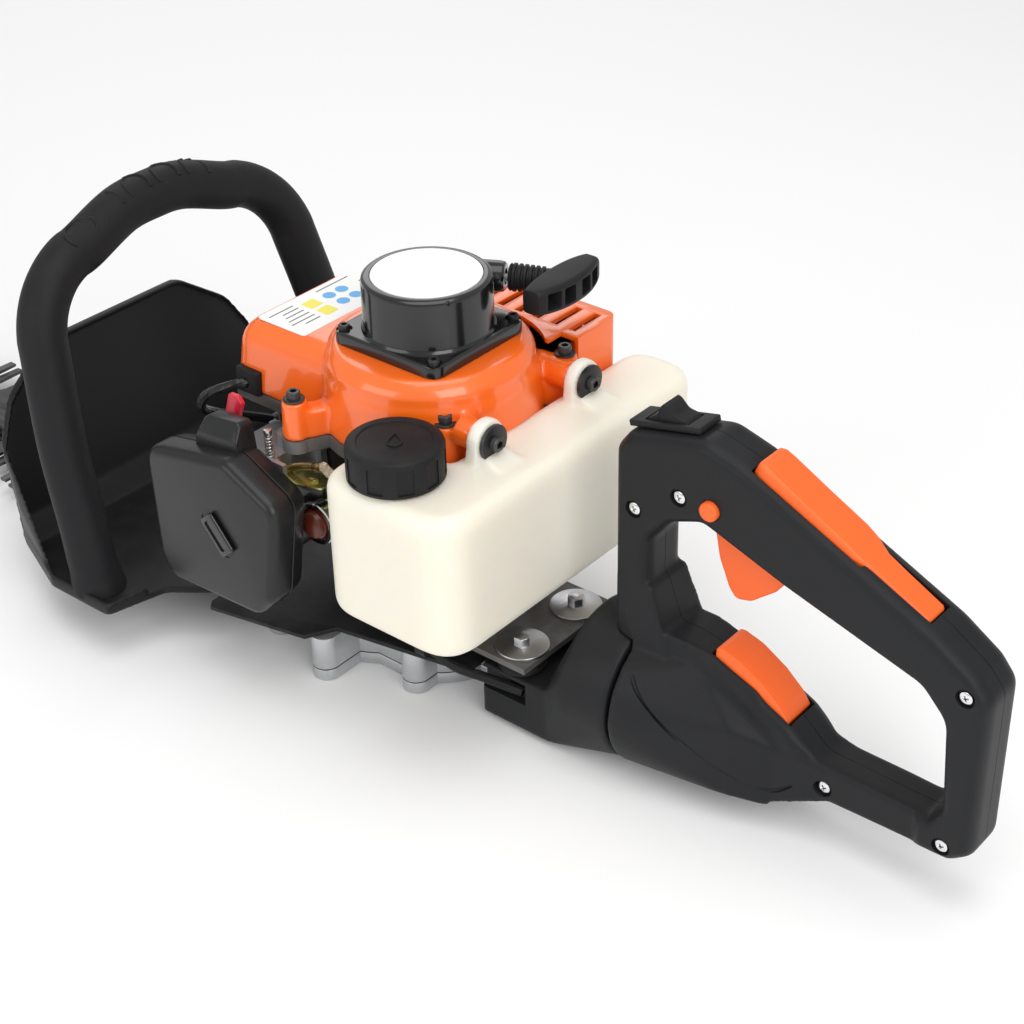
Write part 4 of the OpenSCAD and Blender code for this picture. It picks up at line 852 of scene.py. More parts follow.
tankFacts = {"rear": -110, "front": -60, "right": -122, "left": 113, "step": 52, "leftFront": -10, "low": 97,
             "high": 189, "rim": 70.0, "post": (-57, -56, 10.0), "voxel": 1.5, "lugs": [38, -50], "lugX": -74,
             "lugZ": 200, "neck": (-48, 84, 0)}


def makeTank(f):
    plan = rounded([(f["rear"], f["right"]), (f["front"], f["right"]), (f["front"], f["step"]),
                    (f["leftFront"], f["step"]), (f["leftFront"], f["left"]), (f["rear"], f["left"])],
                   [22, 20, 3, 8, 22, 26], 7)
    levels = [(0, 8), (0.8, 5), (2.5, 2.6), (5, 1), (9, 0), (83, 0), (87, 1), (89.5, 2.6), (91.2, 5), (92, 8)]
    body = build("tankBody", lambda bm: addLoft(bm, [[(p[0], p[1], f["low"] + h)
                                                      for p in offsetOutline(plan, inset)]
                                                     for h, inset in levels]))
    cut(body, build("tankRelief", lambda bm: addCylinder(bm, 56, 60, 158, steps=96)))
    cut(body, build("tankRelief", lambda bm: addCylinder(bm, f["rim"], 155, 260, steps=96)))
    cut(body, build("tankRelief", lambda bm: addCylinder(bm, f["post"][2], 60, 260,
                                                         (f["post"][0], f["post"][1], 0))))
    def lugs(bm):
        for y in f["lugs"]:
            addCylinder(bm, 13, f["lugX"] - 4.4, f["lugX"] + 4.4, (0, y, f["lugZ"]), "x", 56, edge=1.5)
            addPrism(bm, [(y - 14.5, 186), (y + 14.5, 186), (y + 12.6, 200), (y - 12.6, 200)],
                     f["lugX"] - 4.4,
                     f["lugX"] + 4.4, "x")
            # soft web down the back wall
            addHull(bm, boxPoints(-100, f["lugX"], y - 11, y + 11, 184, 187.5)
                    + boxPoints(f["lugX"] - 1, f["lugX"], y - 9, y + 9, 192, 196))
        addCylinder(bm, 23, 185, 191.5, f["neck"], edge=1)
    whole = joined("fuelTankShell", [body, build("tankLugs", lugs)])
    moulded(whole, f["voxel"], 7, 0.6)
    def holes(bm):
        for y in f["lugs"]:
            addCylinder(bm, 2.6, f["lugX"] - 12, f["lugX"] + 12, (0, y, f["lugZ"]), "x", 24)
        addCylinder(bm, 19, 180, 260, f["neck"])
    cut(whole, build("tankHoles", holes))
    dress(whole, 50, "tankPlastic", "chassis", ("fuel_tank",))


makeTank(tankFacts)

capFacts = {"place": tankFacts["neck"], "radius": 28.2, "low": 189.6, "high": 212, "flats": 10}


def makeRibTree():
    # Geometry Nodes: copies of one rib in a ring, with a named count and radius
    tree = bpy.data.node_groups.new("ringOfCopies", "GeometryNodeTree")
    for label, kind in (("Geometry", "NodeSocketGeometry"), ("Count", "NodeSocketInt"),
                        ("Radius", "NodeSocketFloat"),
                        ("Material", "NodeSocketMaterial")):
        tree.interface.new_socket(label, in_out="INPUT", socket_type=kind)
    tree.interface.new_socket("Geometry", in_out="OUTPUT", socket_type="NodeSocketGeometry")
    n, link = tree.nodes, tree.links
    gin, gout = n.new("NodeGroupInput"), n.new("NodeGroupOutput")
    ring = n.new("GeometryNodeMeshCircle")
    points = n.new("GeometryNodeMeshToPoints")
    place = n.new("GeometryNodeInstanceOnPoints")
    index = n.new("GeometryNodeInputIndex")
    step = n.new("ShaderNodeMath")
    step.operation = "DIVIDE"
    step.inputs[0].default_value = 2 * math.pi
    angle = n.new("ShaderNodeMath")
    angle.operation = "MULTIPLY"
    turn = n.new("ShaderNodeCombineXYZ")
    real = n.new("GeometryNodeRealizeInstances")
    paint = n.new("GeometryNodeSetMaterial")
    wire(link, [(gin, "Count", ring, "Vertices"), (gin, "Radius", ring, "Radius"),
                (ring, "Mesh", points, "Mesh"), (points, "Points", place, "Points"),
                (gin, "Geometry", place, "Instance"), (gin, "Count", step, 1), (step, 0, angle, 0),
                (index, 0, angle, 1), (angle, 0, turn, "Z"), (turn, 0, place, "Rotation"),
                (place, "Instances", real, "Geometry"), (real, "Geometry", paint, "Geometry"),
                (gin, "Material", paint, "Material"), (paint, "Geometry", gout, "Geometry")])
    return tree


ringTree = makeRibTree()


def ringOf(piece, count, radius, material, centre):
    # piece is one copy, built at the origin with +x outwards; centre is in millimetres
    step = piece.modifiers.new("ring", "NODES")
    step.node_group = ringTree
    ids = {s.name: s.identifier for s in ringTree.interface.items_tree if s.in_out == "INPUT"}
    step[ids["Count"]] = count
    step[ids["Radius"]] = radius * mm
    step[ids["Material"]] = material
    bake(piece)
    for v in piece.data.vertices:
        v.co += Vector(centre) * mm
    return piece


def makeCap(f):
    cx, cy, _ = f["place"]
    low, high, r = f["low"], f["high"], f["radius"]
    body = build("capBody", lambda bm: addLathe(bm, [
        (23.6, low), (r - 0.8, low), (r, low + 0.8), (r, high - 3.2), (r - 0.7, high - 1.4),
                                                     (r - 2.4, high - 0.3),
        (r - 4.5, high), (r - 6.5, high), (r - 7.0, high - 0.7), (0, high - 0.7), (0, high - 4),
                                                     (23.6, high - 4)],
        (cx, cy, 0), steps=128))
    # shallow flats between grip ribs
    flat = build("capFlat", lambda bm: addPrism(bm, rounded([(-4.6, low + 2.2), (4.6, low + 2.2),
                                                             (4.6, high - 4.6),
                                                             (-4.6, high - 4.6)], 0.7, 2), -1.0, 4, "x"))
    cut(body, ringOf(flat, f["flats"], r, finish["capPlastic"], (cx, cy, 0)))
    # raised generic drop mark on the top
    mark = rounded([(0, 9), (3.9, 0.6), (5, -3.4), (3, -6.6), (0, -7.6), (-3, -6.6), (-5, -3.4), (-3.9, 0.6)],
                   [0.6, 8, 4, 4, 4, 4, 4, 8], 4)
    lean = Matrix.Rotation(math.radians(-141), 2)
    outline = [tuple(Vector((cx, cy)) + lean @ Vector(p)) for p in mark][::-1]
    drop = build("capMark", lambda bm: addFrame(bm, outline, offsetOutline(outline, 1.1),
                                                [(high - 0.75, 0), (high + 0.0, 0), (high + 0.15, 0.15)],
                                                "z"))
    cap = joined("fuelCapBody", [body, drop])
    dress(cap, 35, "capPlastic", "fuel_cap", ("fuel_cap",))


makeCap(capFacts)
print("tank and cap made")


# engine cover, label, starter

coverFacts = {"radius": 67, "half": 52, "front": 118, "low": 178, "high": 222, "domeTop": 226.5,
              "posts": [(41, 74, 202), (-48, 42, 203), (-57, -56, 209)], "voxel": 1.3}


def coverPlan(inset, f):
    # round at the back, straight to the front
    r, half, front = f["radius"] - inset, f["half"] - inset, f["front"] - inset
    start = math.asin(half / r)
    points = [(r * math.cos(a), r * math.sin(a)) for a in
              [start + (2 * math.pi - 2 * start) * k / 72 for k in range(73)]]
    lead = rounded([(points[-1][0] + 6, -half), (front, -half), (front, half), (points[0][0] + 6, half)],
                   [0, 12, 12, 0], 6)
    return points + lead


def makeCover(f):
    low, high = f["low"], f["high"]
    # drafted walls, a rounded shoulder and a raised round ledge under the starter
    levels = [(low, 0), (low + 5, 0.2), (high - 14, 2.6), (high - 9, 4.0), (high - 5, 6.2), (high - 2, 9.5),
              (high, 14), (high + 0.2, 20)]
    body = build("coverBody", lambda bm: addLoft(bm, [[(p[0], p[1], h) for p in coverPlan(i, f)] for h,
                                                      i in levels]))
    def more(bm):
        addLathe(bm, [(0, high - 12), (63.2, high - 12), (62.6, high - 4), (60.5, high - 0.2),
                      (58.6, high + 1.6),
                      (57, f["domeTop"] - 0.6), (54, f["domeTop"]), (0, f["domeTop"])], steps=96)
        for x, y, top in f["posts"]:
            addCylinder(bm, 8.4, low, top - 0.2, (x, y, 0), edge=0.8, r2=7.6)
            length = math.hypot(x, y)
            addPrism(bm, [(x + p * -y / length - q * x / length, y + p * x / length - q * y / length)
                          for p, q in ((-6.6, 0), (6.6, 0), (7.4, length - 40), (-7.4, length - 40))], low,
                     top - 6)
        for y, end in ((38, -56), (-50, -40)):
            addCylinder(bm, 9, -69, end, (0, y, 200), "x", edge=0.8)
    whole = joined("coverWhole", [body, build("coverParts", more)])
    moulded(whole, f["voxel"], 6, 0.55)
    cut(whole, build("coverHollow", lambda bm: addLoft(bm, [[(p[0], p[1], h) for p in coverPlan(i, f)]
                                                            for h, i in
                                                            [(low - 10, 2.6), (high - 14, 5),
                                                             (high - 4, 14)]])))
    cut(whole, build("coverShaft", lambda bm: addCylinder(bm, 34, 205, 240, steps=72)))
    def holes(bm):
        for x, y, top in f["posts"]:
            addCylinder(bm, 2, top - 3, 240, (x, y, 0), steps=24)
        addPrism(bm, rounded(rectOutline(94, 44, 110, 64), 3, 3), low - 10, 190)
        addCylinder(bm, 7.4, 203, 240, (-48, 42, 0), steps=40)
    cut(whole, build("coverHoles", holes))
    whole.name = whole.data.name = "engineCoverShell"
    dress(whole, 42, "orangeGloss", "chassis", ("engine_cover",))


makeCover(coverFacts)


def makeLabel():
    top = 222.25
    plate = build("ratingPlate", lambda bm: addPrism(bm, rounded(rectOutline(64, -40, 104, 40), 3, 4),
                                                     221.6, top))
    dress(plate, 30, "whiteLabel", "chassis", ("rating_label",))
    # plain dots and bars in place of the printed notices
    dots = build("labelDots", *[lambda bm, x=x, y=y, r=r: addCylinder(bm, r, top - 0.3, top + 0.12,
            (x, y, 0), steps=32)
                                for x, y, r in ((78, -19, 4.2), (90, -19, 4.2), (78, -8, 4.2),
                                                (90, -8, 4.2))])
    dress(dots, 30, "labelBlue", "chassis")
    square = build("labelSquares", lambda bm: addPrism(bm, rounded(rectOutline(72, 2, 82, 12), 1, 2),
                                                       top - 0.3,
                                                       top + 0.12),
                   lambda bm: addPrism(bm, rounded(rectOutline(85, 2, 95, 12), 1, 2), top - 0.3, top + 0.12))
    dress(square, 30, "labelYellow", "chassis")
    def bars(bm):
        for i in range(6):
            addPrism(bm, rectOutline(97 - i * 4.6, 16, 98 - i * 4.6, 36 - (i * 7) % 9), top - 0.3, top + 0.1)
        addPrism(bm, rectOutline(99, -34, 100, -6), top - 0.3, top + 0.1)
        addPrism(bm, rectOutline(70, -34, 71.2, -26), top - 0.3, top + 0.1)
        addPrism(bm, rectOutline(74, -35, 90, -34), top - 0.3, top + 0.1)
    lines = build("labelBars", bars)
    dress(lines, 30, "labelGrey", "chassis")


makeLabel()

starterFacts = {"half": 41.2, "flangeLow": 226.5, "flangeHigh": 234.5, "radius": 38.6, "top": 267,
                "screwAt": 35,
                "rope": {"turn": 208, "line": 33, "high": 252}}


def ropeMatrix(s):
    # local z runs out along the rope
    facts = starterFacts["rope"]
    turn = math.radians(facts["turn"])
    out = Vector((math.cos(turn), math.sin(turn), 0))
    across = Vector((-math.sin(turn), math.cos(turn), 0))
    start = across * facts["line"] + out * s + Vector((0, 0, facts["high"]))
    up = Vector((0, 0, 1))
    return Matrix.Translation(start) @ Matrix((up.cross(out), up, out)).transposed().to_4x4()


def makeStarter(f):
    low, mid, top, r = f["flangeLow"], f["flangeHigh"], f["top"], f["radius"]
    plan = rounded(rectOutline(-f["half"], -f["half"], f["half"], f["half"]), 10, 8)
    flange = build("starterFlange", lambda bm: addLoft(bm, [
        [(p[0], p[1], z) for p in offsetOutline(plan, i)] for z, i in
        [(low, 0.4), (low + 0.6, 0), (mid - 1.6, 0), (mid - 0.7, 0.4), (mid - 0.1, 1.4), (mid, 2.4)]]))
    def can(bm):
        addLathe(bm, [(0, low + 1), (r + 1.2, low + 1), (r + 1.2, mid), (r + 0.5, mid + 1), (r, mid + 2.2),
                      (r, top - 3.2), (r - 0.5, top - 1.4), (r - 1.8, top - 0.35), (r - 3.2, top),
                      (r - 5.2, top),
                      (r - 5.6, top - 0.8), (0, top - 0.8)], steps=128)
    body = build("starterCan", can)
    boss = build("starterBoss", lambda bm: turnVerts(addLathe(bm, [(0, 8), (9.4, 8), (9.4, 36), (9.0, 38.5),
                                                                   (8.0, 39.6), (5, 39.6), (4.4, 37),
                                                                           (0, 37)],
                                                              steps=56), ropeMatrix(0)))
    cut(body, boss, "UNION")
    cut(body, flange, "UNION")
    def notches(bm):
        for a in (150, 285):
            addPrism(bm, [(r * math.cos(math.radians(a + d)) * k, r * math.sin(math.radians(a + d)) * k)
                          for d, k in ((-1.4, 0.965), (1.4, 0.965), (1.4, 1.1), (-1.4, 1.1))], top - 3.4,
                     top + 2)
        for sx in (-1, 1):
            for sy in (-1, 1):
                addCylinder(bm, 5.0, mid - 1.5, mid + 6, (sx * f["screwAt"], sy * f["screwAt"], 0), steps=36)
    cut(body, build("starterCuts", notches))
    body.name = body.data.name = "starterCanBody"
    dress(body, 33, "blackGloss", "chassis", ("starter_housing",))
    badge = build("starterDisc", lambda bm: addLathe(bm, [(0, top - 1.0), (r - 5.8, top - 1.0),
                                                          (r - 5.8, top + 0.1),
                                                          (r - 6.1, top + 0.35), (0, top + 0.35)], steps=96))
    dress(badge, 30, "whiteLabel", "chassis", ("starter_badge",))
    heads = screwsAt("starterScrewHeads", socketScrew(3.4, 4.2), [(sx * f["screwAt"], sy * f["screwAt"],
            mid - 1.4)
                                                                  for sx in (-1, 1) for sy in (-1, 1)],
                     finish["blackSteel"])
    dress(heads, 35, "blackSteel", "chassis", ("starter_screws",))


def socketScrew(r, height, washer=0, washerThick=1.4):
    head = build("screwHead", lambda bm: addLathe(bm, [(0, -6), (r * 0.5, -6), (r * 0.5, 0), (r, 0),
                                                       (r, height - 0.6),
                                                       (r - 0.5, height), (0, height)], steps=40))
    cut(head, build("socket", lambda bm: addPrism(bm, circleOutline(0, 0, r * 0.55, 6), height - 2.2, height
                                                  + 2)))
    if washer:
        ring = build("washer", lambda bm: addLathe(bm, [(r * 0.4, 0), (washer - 0.4, 0), (washer, 0.4),
                                                        (washer, washerThick - 0.3),
                                                        (washer - 0.5, washerThick),
                                                        (r * 0.4, washerThick)], steps=48))
        head = joined("screwAndWasher", [head, ring])
    return head


makeStarter(starterFacts)


def makeCoverScrews():
    posts = screwsAt("coverScrewHeads", socketScrew(4.1, 6, 6.5), coverFacts["posts"], finish["blackSteel"])
    lugs = screwsAt("tankScrewHeads", socketScrew(4.6, 6, 11, 2.5), [(-79, y, 200)
            for y in tankFacts["lugs"]],
                    finish["blackSteel"], (0, -90, 0))
    both = joined("flangeScrewHeads", [posts, lugs])
    dress(both, 35, "blackSteel", "chassis", ("flange_screws",))


makeCoverScrews()
print("cover and starter made")


def makePull():
    # ribbed sleeve, then a cross grip with two windows
    ribs = []
    for i in range(6):
        s = 44 + i * 3.4
        r = 8.6 - 0.18 * i
        ribs += [(r - 1.2, s), (r, s + 0.5), (r, s + 2.0), (r - 1.2, s + 2.5)]
    sleeve = build("pullSleeve", lambda bm: turnVerts(addLathe(bm, [(0, 42), (7.6, 42), (8.4, 42.8)] + ribs
                                                               + [(6.8, 65), (6.6, 70), (0, 70)], steps=56),
                                                      ropeMatrix(0)))
    swing = ropeMatrix(0) @ Matrix.Translation((0, 0, 64)) @ Matrix.Rotation(math.radians(-26), 4, "Y") \
        @ Matrix.Translation((0, 0, -64))
    rings = []
    for t in [k / 10 - 1 for k in range(21)]:
        deep = 22 - 7 * abs(t) ** 2.2
        high = 8.5 - 1.2 * abs(t) ** 4
        shape = rounded([(-high, 66 + 3.5 * abs(t) ** 2), (high, 66 + 3.5 * abs(t) ** 2), (high, 66 + deep),
                         (-high, 66 + deep)], [3, 3, 3.5, 3.5], 4)
        rings.append([(t * 30, p[0], p[1]) for p in shape])
    grip = build("pullBar", lambda bm: turnVerts(addLoft(bm, rings), swing))
    def windows(bm):
        for side in (-1, 1):
            for x0, x1 in ((3, 12.5), (15, 24.5)):
                turnVerts(addPrism(bm, rounded([(side * x0, -5.4), (side * x1, -5.4), (side * x1, 5.4),
                                                (side * x0, 5.4)][::side], 1.2, 3), 77, 95), swing)
    cut(grip, build("gripWindows", windows))
    edged(grip, 0.5, 2, 60)
    cut(grip, sleeve, "UNION")
    grip.name = grip.data.name = "starterPullGrip"
    dress(grip, 40, "blackPlastic", "starter_handle", ("starter_handle",))
    path = [ropeMatrix(s) @ Vector((0, 0, 0)) for s in [15 + 54 * k / 60 for k in range(61)]]
    rope = build("starterCord", lambda bm: addTube(bm, path, 1.7, 14))
    dress(rope, 60, "ropeFibre", None, ("starter_rope",))
    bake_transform(rope)


makePull()
print("pull grip made")


# air filter, choke and primer

filterFacts = {"outline": [(133, 158), (62, 171.5), (21, 151), (32, 83), (46, 68), (123, 65), (131, 82)],
               "corners": [15, 13, 14, 12, 12, 12, 14], "back": 85, "seam": 98, "face": 116,
               "knob": (71, 118.6), "knobTurn": 50}


def makeFilter(f):
    plan = rounded(f["outline"][::-1], f["corners"][::-1], 6)

    def shell(levels):
        return lambda bm: addLoft(bm, [[(p[0], y, p[1]) for p in offsetOutline(plan, i)] for y, i in levels])
    seam, face = f["seam"], f["face"]
    # the lid: rounded front edge, then a fine lip at the seam
    lid = build("filterLid", shell([(seam + 0.4, 1.0), (seam + 0.7, 0.5), (seam + 1.1, 0.15), (seam + 2, 0),
                                    (face - 6, 0.05),
                                    (face - 4, 0.45), (face - 2.4, 1.3), (face - 1.2, 2.5), (face - 0.4, 3.9),
                                    (face, 5.5)]))
    knobX, knobZ = f["knob"]
    knobPlace = Matrix.Translation((knobX, 0, knobZ)) @ Matrix.Rotation(math.radians(-f["knobTurn"]), 4, "Y")
    pocket = build("knobPocket", lambda bm: turnVerts(addPrism(
        bm, rounded(rectOutline(-15.4, -8.2, 15.4, 8.2), 4, 6), face - 0.5, face + 3, "y"),
        knobPlace))
    cut(lid, pocket)
    dress(lid, 36, "filterPlastic", "filter_cover", ("filter_cover",))

    case = build("filterCaseShell", shell([(f["back"], 5.5), (f["back"] + 0.7, 4.6), (f["back"] + 2, 3.4),
                                           (f["back"] + 5, 2),
                                           (seam - 1.6, 0.6), (seam - 0.7, 0.4), (seam - 0.2, 0.9)]))
    bump = build("filterTop", lambda bm: addLoft(bm, [
        [(62, f["back"] + 1, 158), (65, f["back"] + 1, 184), (68, f["back"] + 1, 186),
         (92, f["back"] + 1, 183.5),
         (96, f["back"] + 1, 181), (100, f["back"] + 1, 156)],
        [(62, f["face"] - 20, 158), (65, f["face"] - 20, 184.5), (68, f["face"] - 20, 186.8),
         (92, f["face"] - 20, 184),
         (96, f["face"] - 20, 181.5), (100, f["face"] - 20, 156)],
        [(61, f["face"] - 13.5, 158), (63, f["face"] - 13.5, 176), (65, f["face"] - 13.5, 178),
         (95, f["face"] - 13.5, 174.5), (98, f["face"] - 13.5, 172), (101, f["face"] - 13.5, 156)]]))
    edged(bump, 0.9, 2, 25)
    cut(case, bump, "UNION")
    dress(case, 32, "filterPlastic", "chassis", ("filter_case",))

    knob = build("filterKnobGrip", lambda bm: turnVerts(addPrism(
        bm, rounded(rectOutline(-13.6, -6.6, 13.6, 6.6), 2.4, 5), face + 0.3, face + 3.2, "y"),
        knobPlace))
    edged(knob, 1.2, 3, 60)
    cut(knob, build("knobSlot", lambda bm: turnVerts(addPrism(
        bm, rounded(rectOutline(-10.5, -3.6, 10.5, 3.6), 2, 4), face + 2.2, face + 5, "y"),
        knobPlace)))
    dress(knob, 35, "blackGloss", "filter_knob", ("filter_knob",))

    choke = build("chokeTab", lambda bm: addPrism(bm, rounded(
        [(97, 148), (105, 148.5), (105, 156), (96, 182), (93.5, 190), (86, 190.5), (82.5, 186), (84, 182)],
        [1, 1, 1, 3, 2, 3, 2, 2], 4), 74.8, 78.2, "y"),
        lambda bm: addCylinder(bm, 2.4, 75, 83.4, (100, 0, 152), "y", 32))
    edged(choke, 0.6, 2, 60)
    dress(choke, 40, "redPlastic", "choke_lever", ("choke_lever",))


makeFilter(filterFacts)


def makeFuelParts():
    ring = build("primerRing", lambda bm: addLathe(bm, [(9.9, 66), (12, 66), (12, 72.4), (13.6, 72.8),
                                                        (14, 73.4),
                                                        (14, 75.2), (13.4, 76), (10.8, 76), (9.9, 75.2),
                                                        (9.9, 66)],
                                                   (30, 0, 121), "y", 72),
                 lambda bm: addPrism(bm, rounded(rectOutline(29, 108, 57, 134), 3, 3), 60, 66, "y"))
    dress(ring, 35, "chrome", "chassis", ("primer_ring",))
    bulb = build("primerDome", lambda bm: addLathe(bm, [(0, 74.2), (9.3, 74.2), (9.3, 76.6)] + [
        (9.0 * math.cos(a), 76.8 + 6.0 * math.sin(a)) for a in [math.pi / 2 * k / 10 for k in range(11)]],
        (30, 0, 121), "y", 48))
    dress(bulb, 50, "bulbRubber", "primer_bulb", ("primer_bulb",))
    hose = build("fuelHose", lambda bm: addTube(bm, smoothPath([(-9.2, 88, 170), (-3, 87, 171), (5, 85, 171),
                                                                 (12, 81, 169), (16.5, 77.9, 167.2)], 8),
                                                3.0, 24,
                                                (0, 1, 0.3)))
    dress(hose, 60, "clearHose", "chassis", ("fuel_line",))
    elbowPath = smoothPath([(18.4, 77.6, 166.4), (26, 76, 163), (38, 74, 158), (48, 73, 153), (54, 72, 149),
                            (58, 70, 142)], 8)
    elbow = build("fuelElbowPipe", lambda bm: addTube(
        bm, elbowPath, lambda t: 2.4 + (0.5 if any(abs(t - c) < 0.022 for c in (0.08, 0.2)) else 0), 24,
                                                      (0, 0.3, 1)))
    dress(elbow, 50, "brass", "chassis", ("fuel_elbow",))
    # idle spring and its screw, a control bracket and small fittings round the carburettor
    coil = [(62 + 2.6 * math.cos(a), 78 + 2.6 * math.sin(a), 156 + a * 0.33) for a in
            [2 * math.pi * k / 14 for k in range(14 * 8)]]
    spring = build("idleSpring", lambda bm: addTube(bm, coil, 0.45, 8, (0, 0, 1)),
                   lambda bm: addCylinder(bm, 1.4, 150, 176, (62, 78, 0), steps=24, edge=0.3),
                   lambda bm: addCylinder(bm, 2.6, 173, 176.5, (62, 78, 0), steps=32, edge=0.5))
    dress(spring, 40, "steel", "chassis")
    bracket = build("controlBracket", lambda bm: addPrism(bm, rounded([(24, 62), (56, 62), (56, 76), (40,
            80), (24, 74)],
                                                                       3, 3), 146, 147.6),
                    lambda bm: addPrism(bm, rounded(rectOutline(24, 128, 30, 147), 2, 3), 62, 63.6, "y"),
                    lambda bm: addCylinder(bm, 3.4, 147.4, 149.6, (34, 70, 0), steps=6))
    edged(bracket, 0.4, 2, 60)
    dress(bracket, 40, "plated", "chassis")


makeFuelParts()


def makeLeadBlock():
    # rubber block where the ignition lead leaves the cover
    block = build("leadGrommet", lambda bm: addPrism(bm, rounded(rectOutline(92.5, 46.5, 111.5, 55.5), 2.5,
            4), 177, 193))
    edged(block, 1.0, 3, 50)
    cut(block, build("leadWay", lambda bm: addCylinder(bm, 3.3, 40, 60, (103.4, 0, 184), "y", 24)))
    dress(block, 40, "rubber", "chassis")


makeLeadBlock()
print("filter and fuel parts made")


# front handle and hand guard

gripFacts = {"radius": 15.5, "lean": 0.25, "foot": 178, "half": 124, "top": 252}


def makeFrontHandle(f):
    arc = [(53 + 57 * math.cos(math.radians(a)), 182 + 57 * math.sin(math.radians(a))) for a in
           [4 + 79 * k / 7 for k in range(8)]]
    side = [(f["half"], 36.3), (123.4, 52), (f["half"] - 3, 80), (f["half"] - 6, 130)] + arc + [(26, 250)]
    line = side + [(0, f["top"])] + [(-y, z) for y, z in side[::-1]]
    path = smoothPath([(f["foot"] + f["lean"] * z, y, z) for y, z in line], 7)

    def radius(t):
        # a softer, slightly thicker grip over the top
        return f["radius"] + 0.5 * math.exp(-((t - 0.5) / 0.13) ** 4)
    tube = build("frontHandleTube", lambda bm: addTube(bm, path, radius, 40, (1, 0, -0.27)))

    def feet(bm):
        for s in (-1, 1):
            x, y = f["foot"] + f["lean"] * 36, s * f["half"]
            rings = []
            for z, r in ((36.2, 17.6), (38, 17.6), (42, 16.8), (47, 16.1), (54, 15.6)):
                rings.append([(x + f["lean"] * (z - 36) + r * math.cos(2 * math.pi * k / 48),
                               y - s * 0.06 * (z - 36) + r * math.sin(2 * math.pi * k / 48), z)
                              for k in range(48)])
            addLoft(bm, rings)
    whole = joined("frontHandleBar", [tube, build("handleFeet", feet)])
    # raised finger marks on the grip: five arches in a row, made as thin ridges
    marks = []
    for i in range(5):
        y = 62 - 24 * i
        for k in range(25):
            a = math.radians(-25 + 230 * k / 24)
            marks.append((i, y + 8.5 * math.cos(a), 11.5 * math.sin(a)))

    def ridges(bm):
        for i in range(5):
            pts = []
            for j, dy, da in marks:
                if j != i:
                    continue
                # lay the arch on the rear upper side of the tube
                best = min(path, key=lambda p: abs(p.y - dy) + (100 if p.z < 200 else 0))
                roll = math.radians(118) - da / 15.5
                out = Vector((math.cos(roll), 0, math.sin(roll)))
                slope = (best.z - 182) and Vector((0, (best.y - 53) / 57 if best.y > 40 else 0,
                                                   1)).normalized()
                pts.append(best + Vector((0, dy - best.y, 0)) + Vector((out.x, 0, 0)) * 15.95
                           + slope * 15.95 * out.z)
            addTube(bm, pts, 1.15, 10, (1, 0, 0))
    bumps = build("gripMarks", ridges)
    dress(whole, 50, "tubeGrip", "chassis", ("front_handle",))
    dress(bumps, 60, "tubeGrip", "chassis")


makeFrontHandle(gripFacts)


def makeGuard():
    lean = 0.25
    plan = [(96, -60), (150, -100), (160, -141), (214, -141), (271, -118), (271, 118), (214, 141), (160, 141),
            (150, 100), (96, 60)]
    tray = build("guardTray", lambda bm: addPrism(bm, rounded(plan, [4, 8, 8, 14, 6, 6, 14, 8, 8, 4], 5),
                                                  32, 36))
    cut(tray, build("trayOpening", lambda bm: addPrism(bm, rounded(rectOutline(60, -78, 118, 78), 5, 4), 20,
                                                       50)))

    def rims(bm):
        # upturned edges round the tray
        for s in (-1, 1):
            line = [(156, 112), (160.5, 139), (214, 139), (268, 117)]
            for a, b in zip(line, line[1:]):
                d = (Vector(b) - Vector(a)).normalized()
                n = Vector((-d.y, d.x)) * 1.6
                box = [Vector(a) - n - d, Vector(b) - n + d, Vector(b) + n + d, Vector(a) + n - d]
                addHull(bm, [(p.x, s * p.y, z) for p in box for z in (34, 41)])
        # upright screen with a bent-back top and side wings
        profile = [(-118, 34), (-115, 60), (-112, 100), (-97, 126), (-60, 152), (60, 152), (97, 126),
                   (112, 100),
                   (115, 60), (118, 34)]
        screen = rounded(profile, [0, 20, 20, 24, 22, 22, 24, 20, 20, 0], 5)
        addLoft(bm, [[(268 + lean * (z - 32) + t, y, z) for y, z in screen] for t in (-0.2, 3.4)])
        # wings from the screen down to the tray
        for s in (-1, 1):
            addHull(bm, [(x + d, s * y, z) for x, y, z in ((214, 137, 34), (268, 116, 34), (283.5, 111, 98),
                                                           (262, 121, 64)) for d in (0, 3.2)])
        # ridge across the foot of the screen
        addHull(bm, boxPoints(258, 272, -117, 117, 34, 36.5) + boxPoints(270, 273, -116, 116, 44, 48))
        # lip along the top edge of the screen
        for (y0, z0), (y1, z1) in zip(screen, screen[1:]):
            if z0 < 60 or z1 < 60 or math.hypot(y1 - y0, z1 - z0) < 0.5:
                continue
            addHull(bm, [(268 + lean * (z - 32) + d, y, z + e) for y, z in ((y0, z0), (y1, z1))
                         for d in (-3.5, 3.4)
                         for e in (-2.2, 0)])
    whole = joined("guardWhole", [tray, build("guardRims", rims)])
    moulded(whole, 1.25, 8, 0.6)
    whole.name = whole.data.name = "handGuardShell"
    dress(whole, 40, "guardPlastic", "chassis", ("hand_guard",))


makeGuard()
print("front handle and guard made")


# solids that only need softer edges

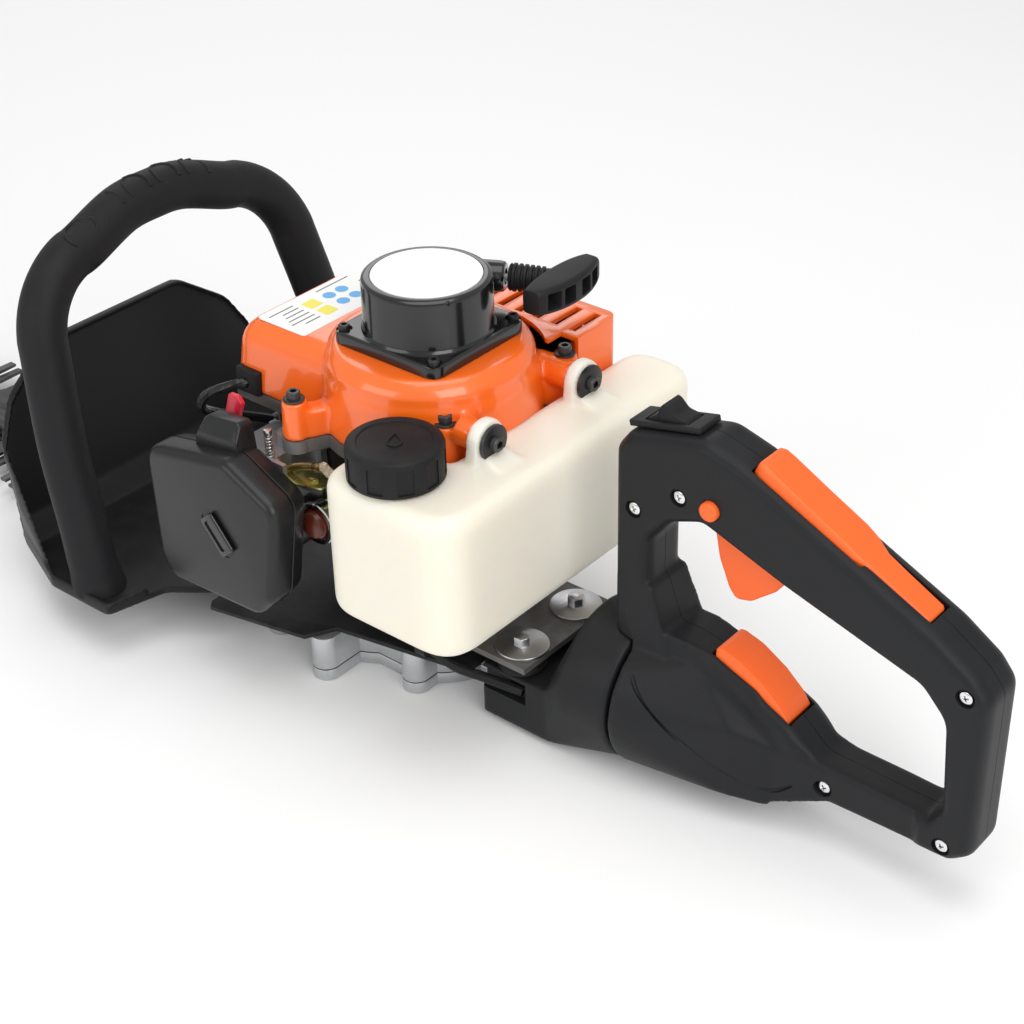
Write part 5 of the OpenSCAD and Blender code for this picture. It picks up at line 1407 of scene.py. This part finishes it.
def softened(nodeName, newName, width, segments, finishName, body, slot):
    # a copy of the solid with its doubles merged and its sharp edges rounded
    mesh = nodes[nodeName].data.copy()
    mesh.name = newName
    piece = bpy.data.objects.new(newName, mesh)
    bpy.context.scene.collection.objects.link(piece)
    bm = bmesh.new()
    bm.from_mesh(mesh)
    bmesh.ops.remove_doubles(bm, verts=bm.verts, dist=0.00001)
    bmesh.ops.dissolve_limit(bm, angle_limit=math.radians(1), verts=bm.verts, edges=bm.edges)
    bm.to_mesh(mesh)
    bm.free()
    edged(piece, width, segments, 40)
    return dress(piece, 40, finishName, body, (nodeName,))


softenedFacts = [
    ("gearbox_housing", "gearboxHousingCast", 0.8, 2, "castAlloy", "chassis", "cast_alloy"),
    ("gearbox_cover", "gearboxCoverCast", 0.8, 2, "castAlloy", "chassis", "cast_alloy"),
    ("base_plate", "basePlateSheet", 0.6, 2, "sheetSteel", "chassis", "black_sheet"),
    ("muffler_guard", "grilleShell", 0.8, 2, "orangeGloss", "chassis", "orange_gloss"),
    ("upper_blade", "upperBladeTeeth", 0.5, 1, "blackSteel", "upper_blade", "black_steel"),
    ("lower_blade", "lowerBladeTeeth", 0.5, 1, "blackSteel", "lower_blade", "black_steel"),
    ("guide_bar", "guideBarStrip", 0.6, 2, "blackSteel", "chassis", "black_steel"),
    ("av_bolts", "mountBolts", 0.35, 2, "steel", "chassis", "steel"),
    ("muffler", "mufflerBox", 0.8, 2, "mufflerSteel", "chassis", "muffler_steel")]

for facts in softenedFacts:
    softened(*facts)
print("softened solids made")


def makeBracket():
    def parts(bm):
        addHull(bm, boxPoints(-118, -66.5, -45, 39, 3.5, 41.5) + boxPoints(-117, -68, -46, 40, 6, 39))
        addHull(bm, discPoints(-164.8, 45.9) + discPoints(-163, 46.5) + discPoints(-131, 46.5)
                + boxPoints(-118, -114, -44, 39, 4, 40.5))
    body = build("bracketBody", parts)
    moulded(body, 1.5, 6, 0.6)
    def tools(bm):
        addPrism(bm, rectOutline(-60, -20, 60, 110), -166, -164.9, "x")
        addPrism(bm, rectOutline(-112, -40, -40, 34), 8, 38)
    cut(body, build("bracketTools", tools))
    cut(body, build("cableNotch", lambda bm: addPrism(bm, rectOutline(-101, 34.5, -61, 50), 24, 39)))
    spigot = build("swivelSpigot", lambda bm: addLathe(bm, [(10, -195), (17.6, -195), (18, -194),
                                                            (18, -178), (21, -178),
                                                             (21, -171.5), (18, -171.5), (18, -160),
                                                            (10, -160),
                                                             (10, -195)], (0, 0, 47), "x", 64))
    whole = joined("hubBracketCasting", [body, spigot])
    dress(whole, 40, "handlePlastic", "chassis", ("hub_bracket",))
    buffers = build("bufferRubbers", *[lambda bm, y=y: addLathe(
        bm, [(3, 42.1), (14.2, 42.1), (15, 43), (15, 44.6), (13.4, 46.5), (15, 48.4), (15, 50.1),
             (14.2, 50.9), (3, 50.9),
             (3, 42.1)], (-88, y, 0), steps=56) for y in (-26, 26)])
    dress(buffers, 50, "rubber", "chassis", ("av_rubbers",))


makeBracket()
print("bracket made")
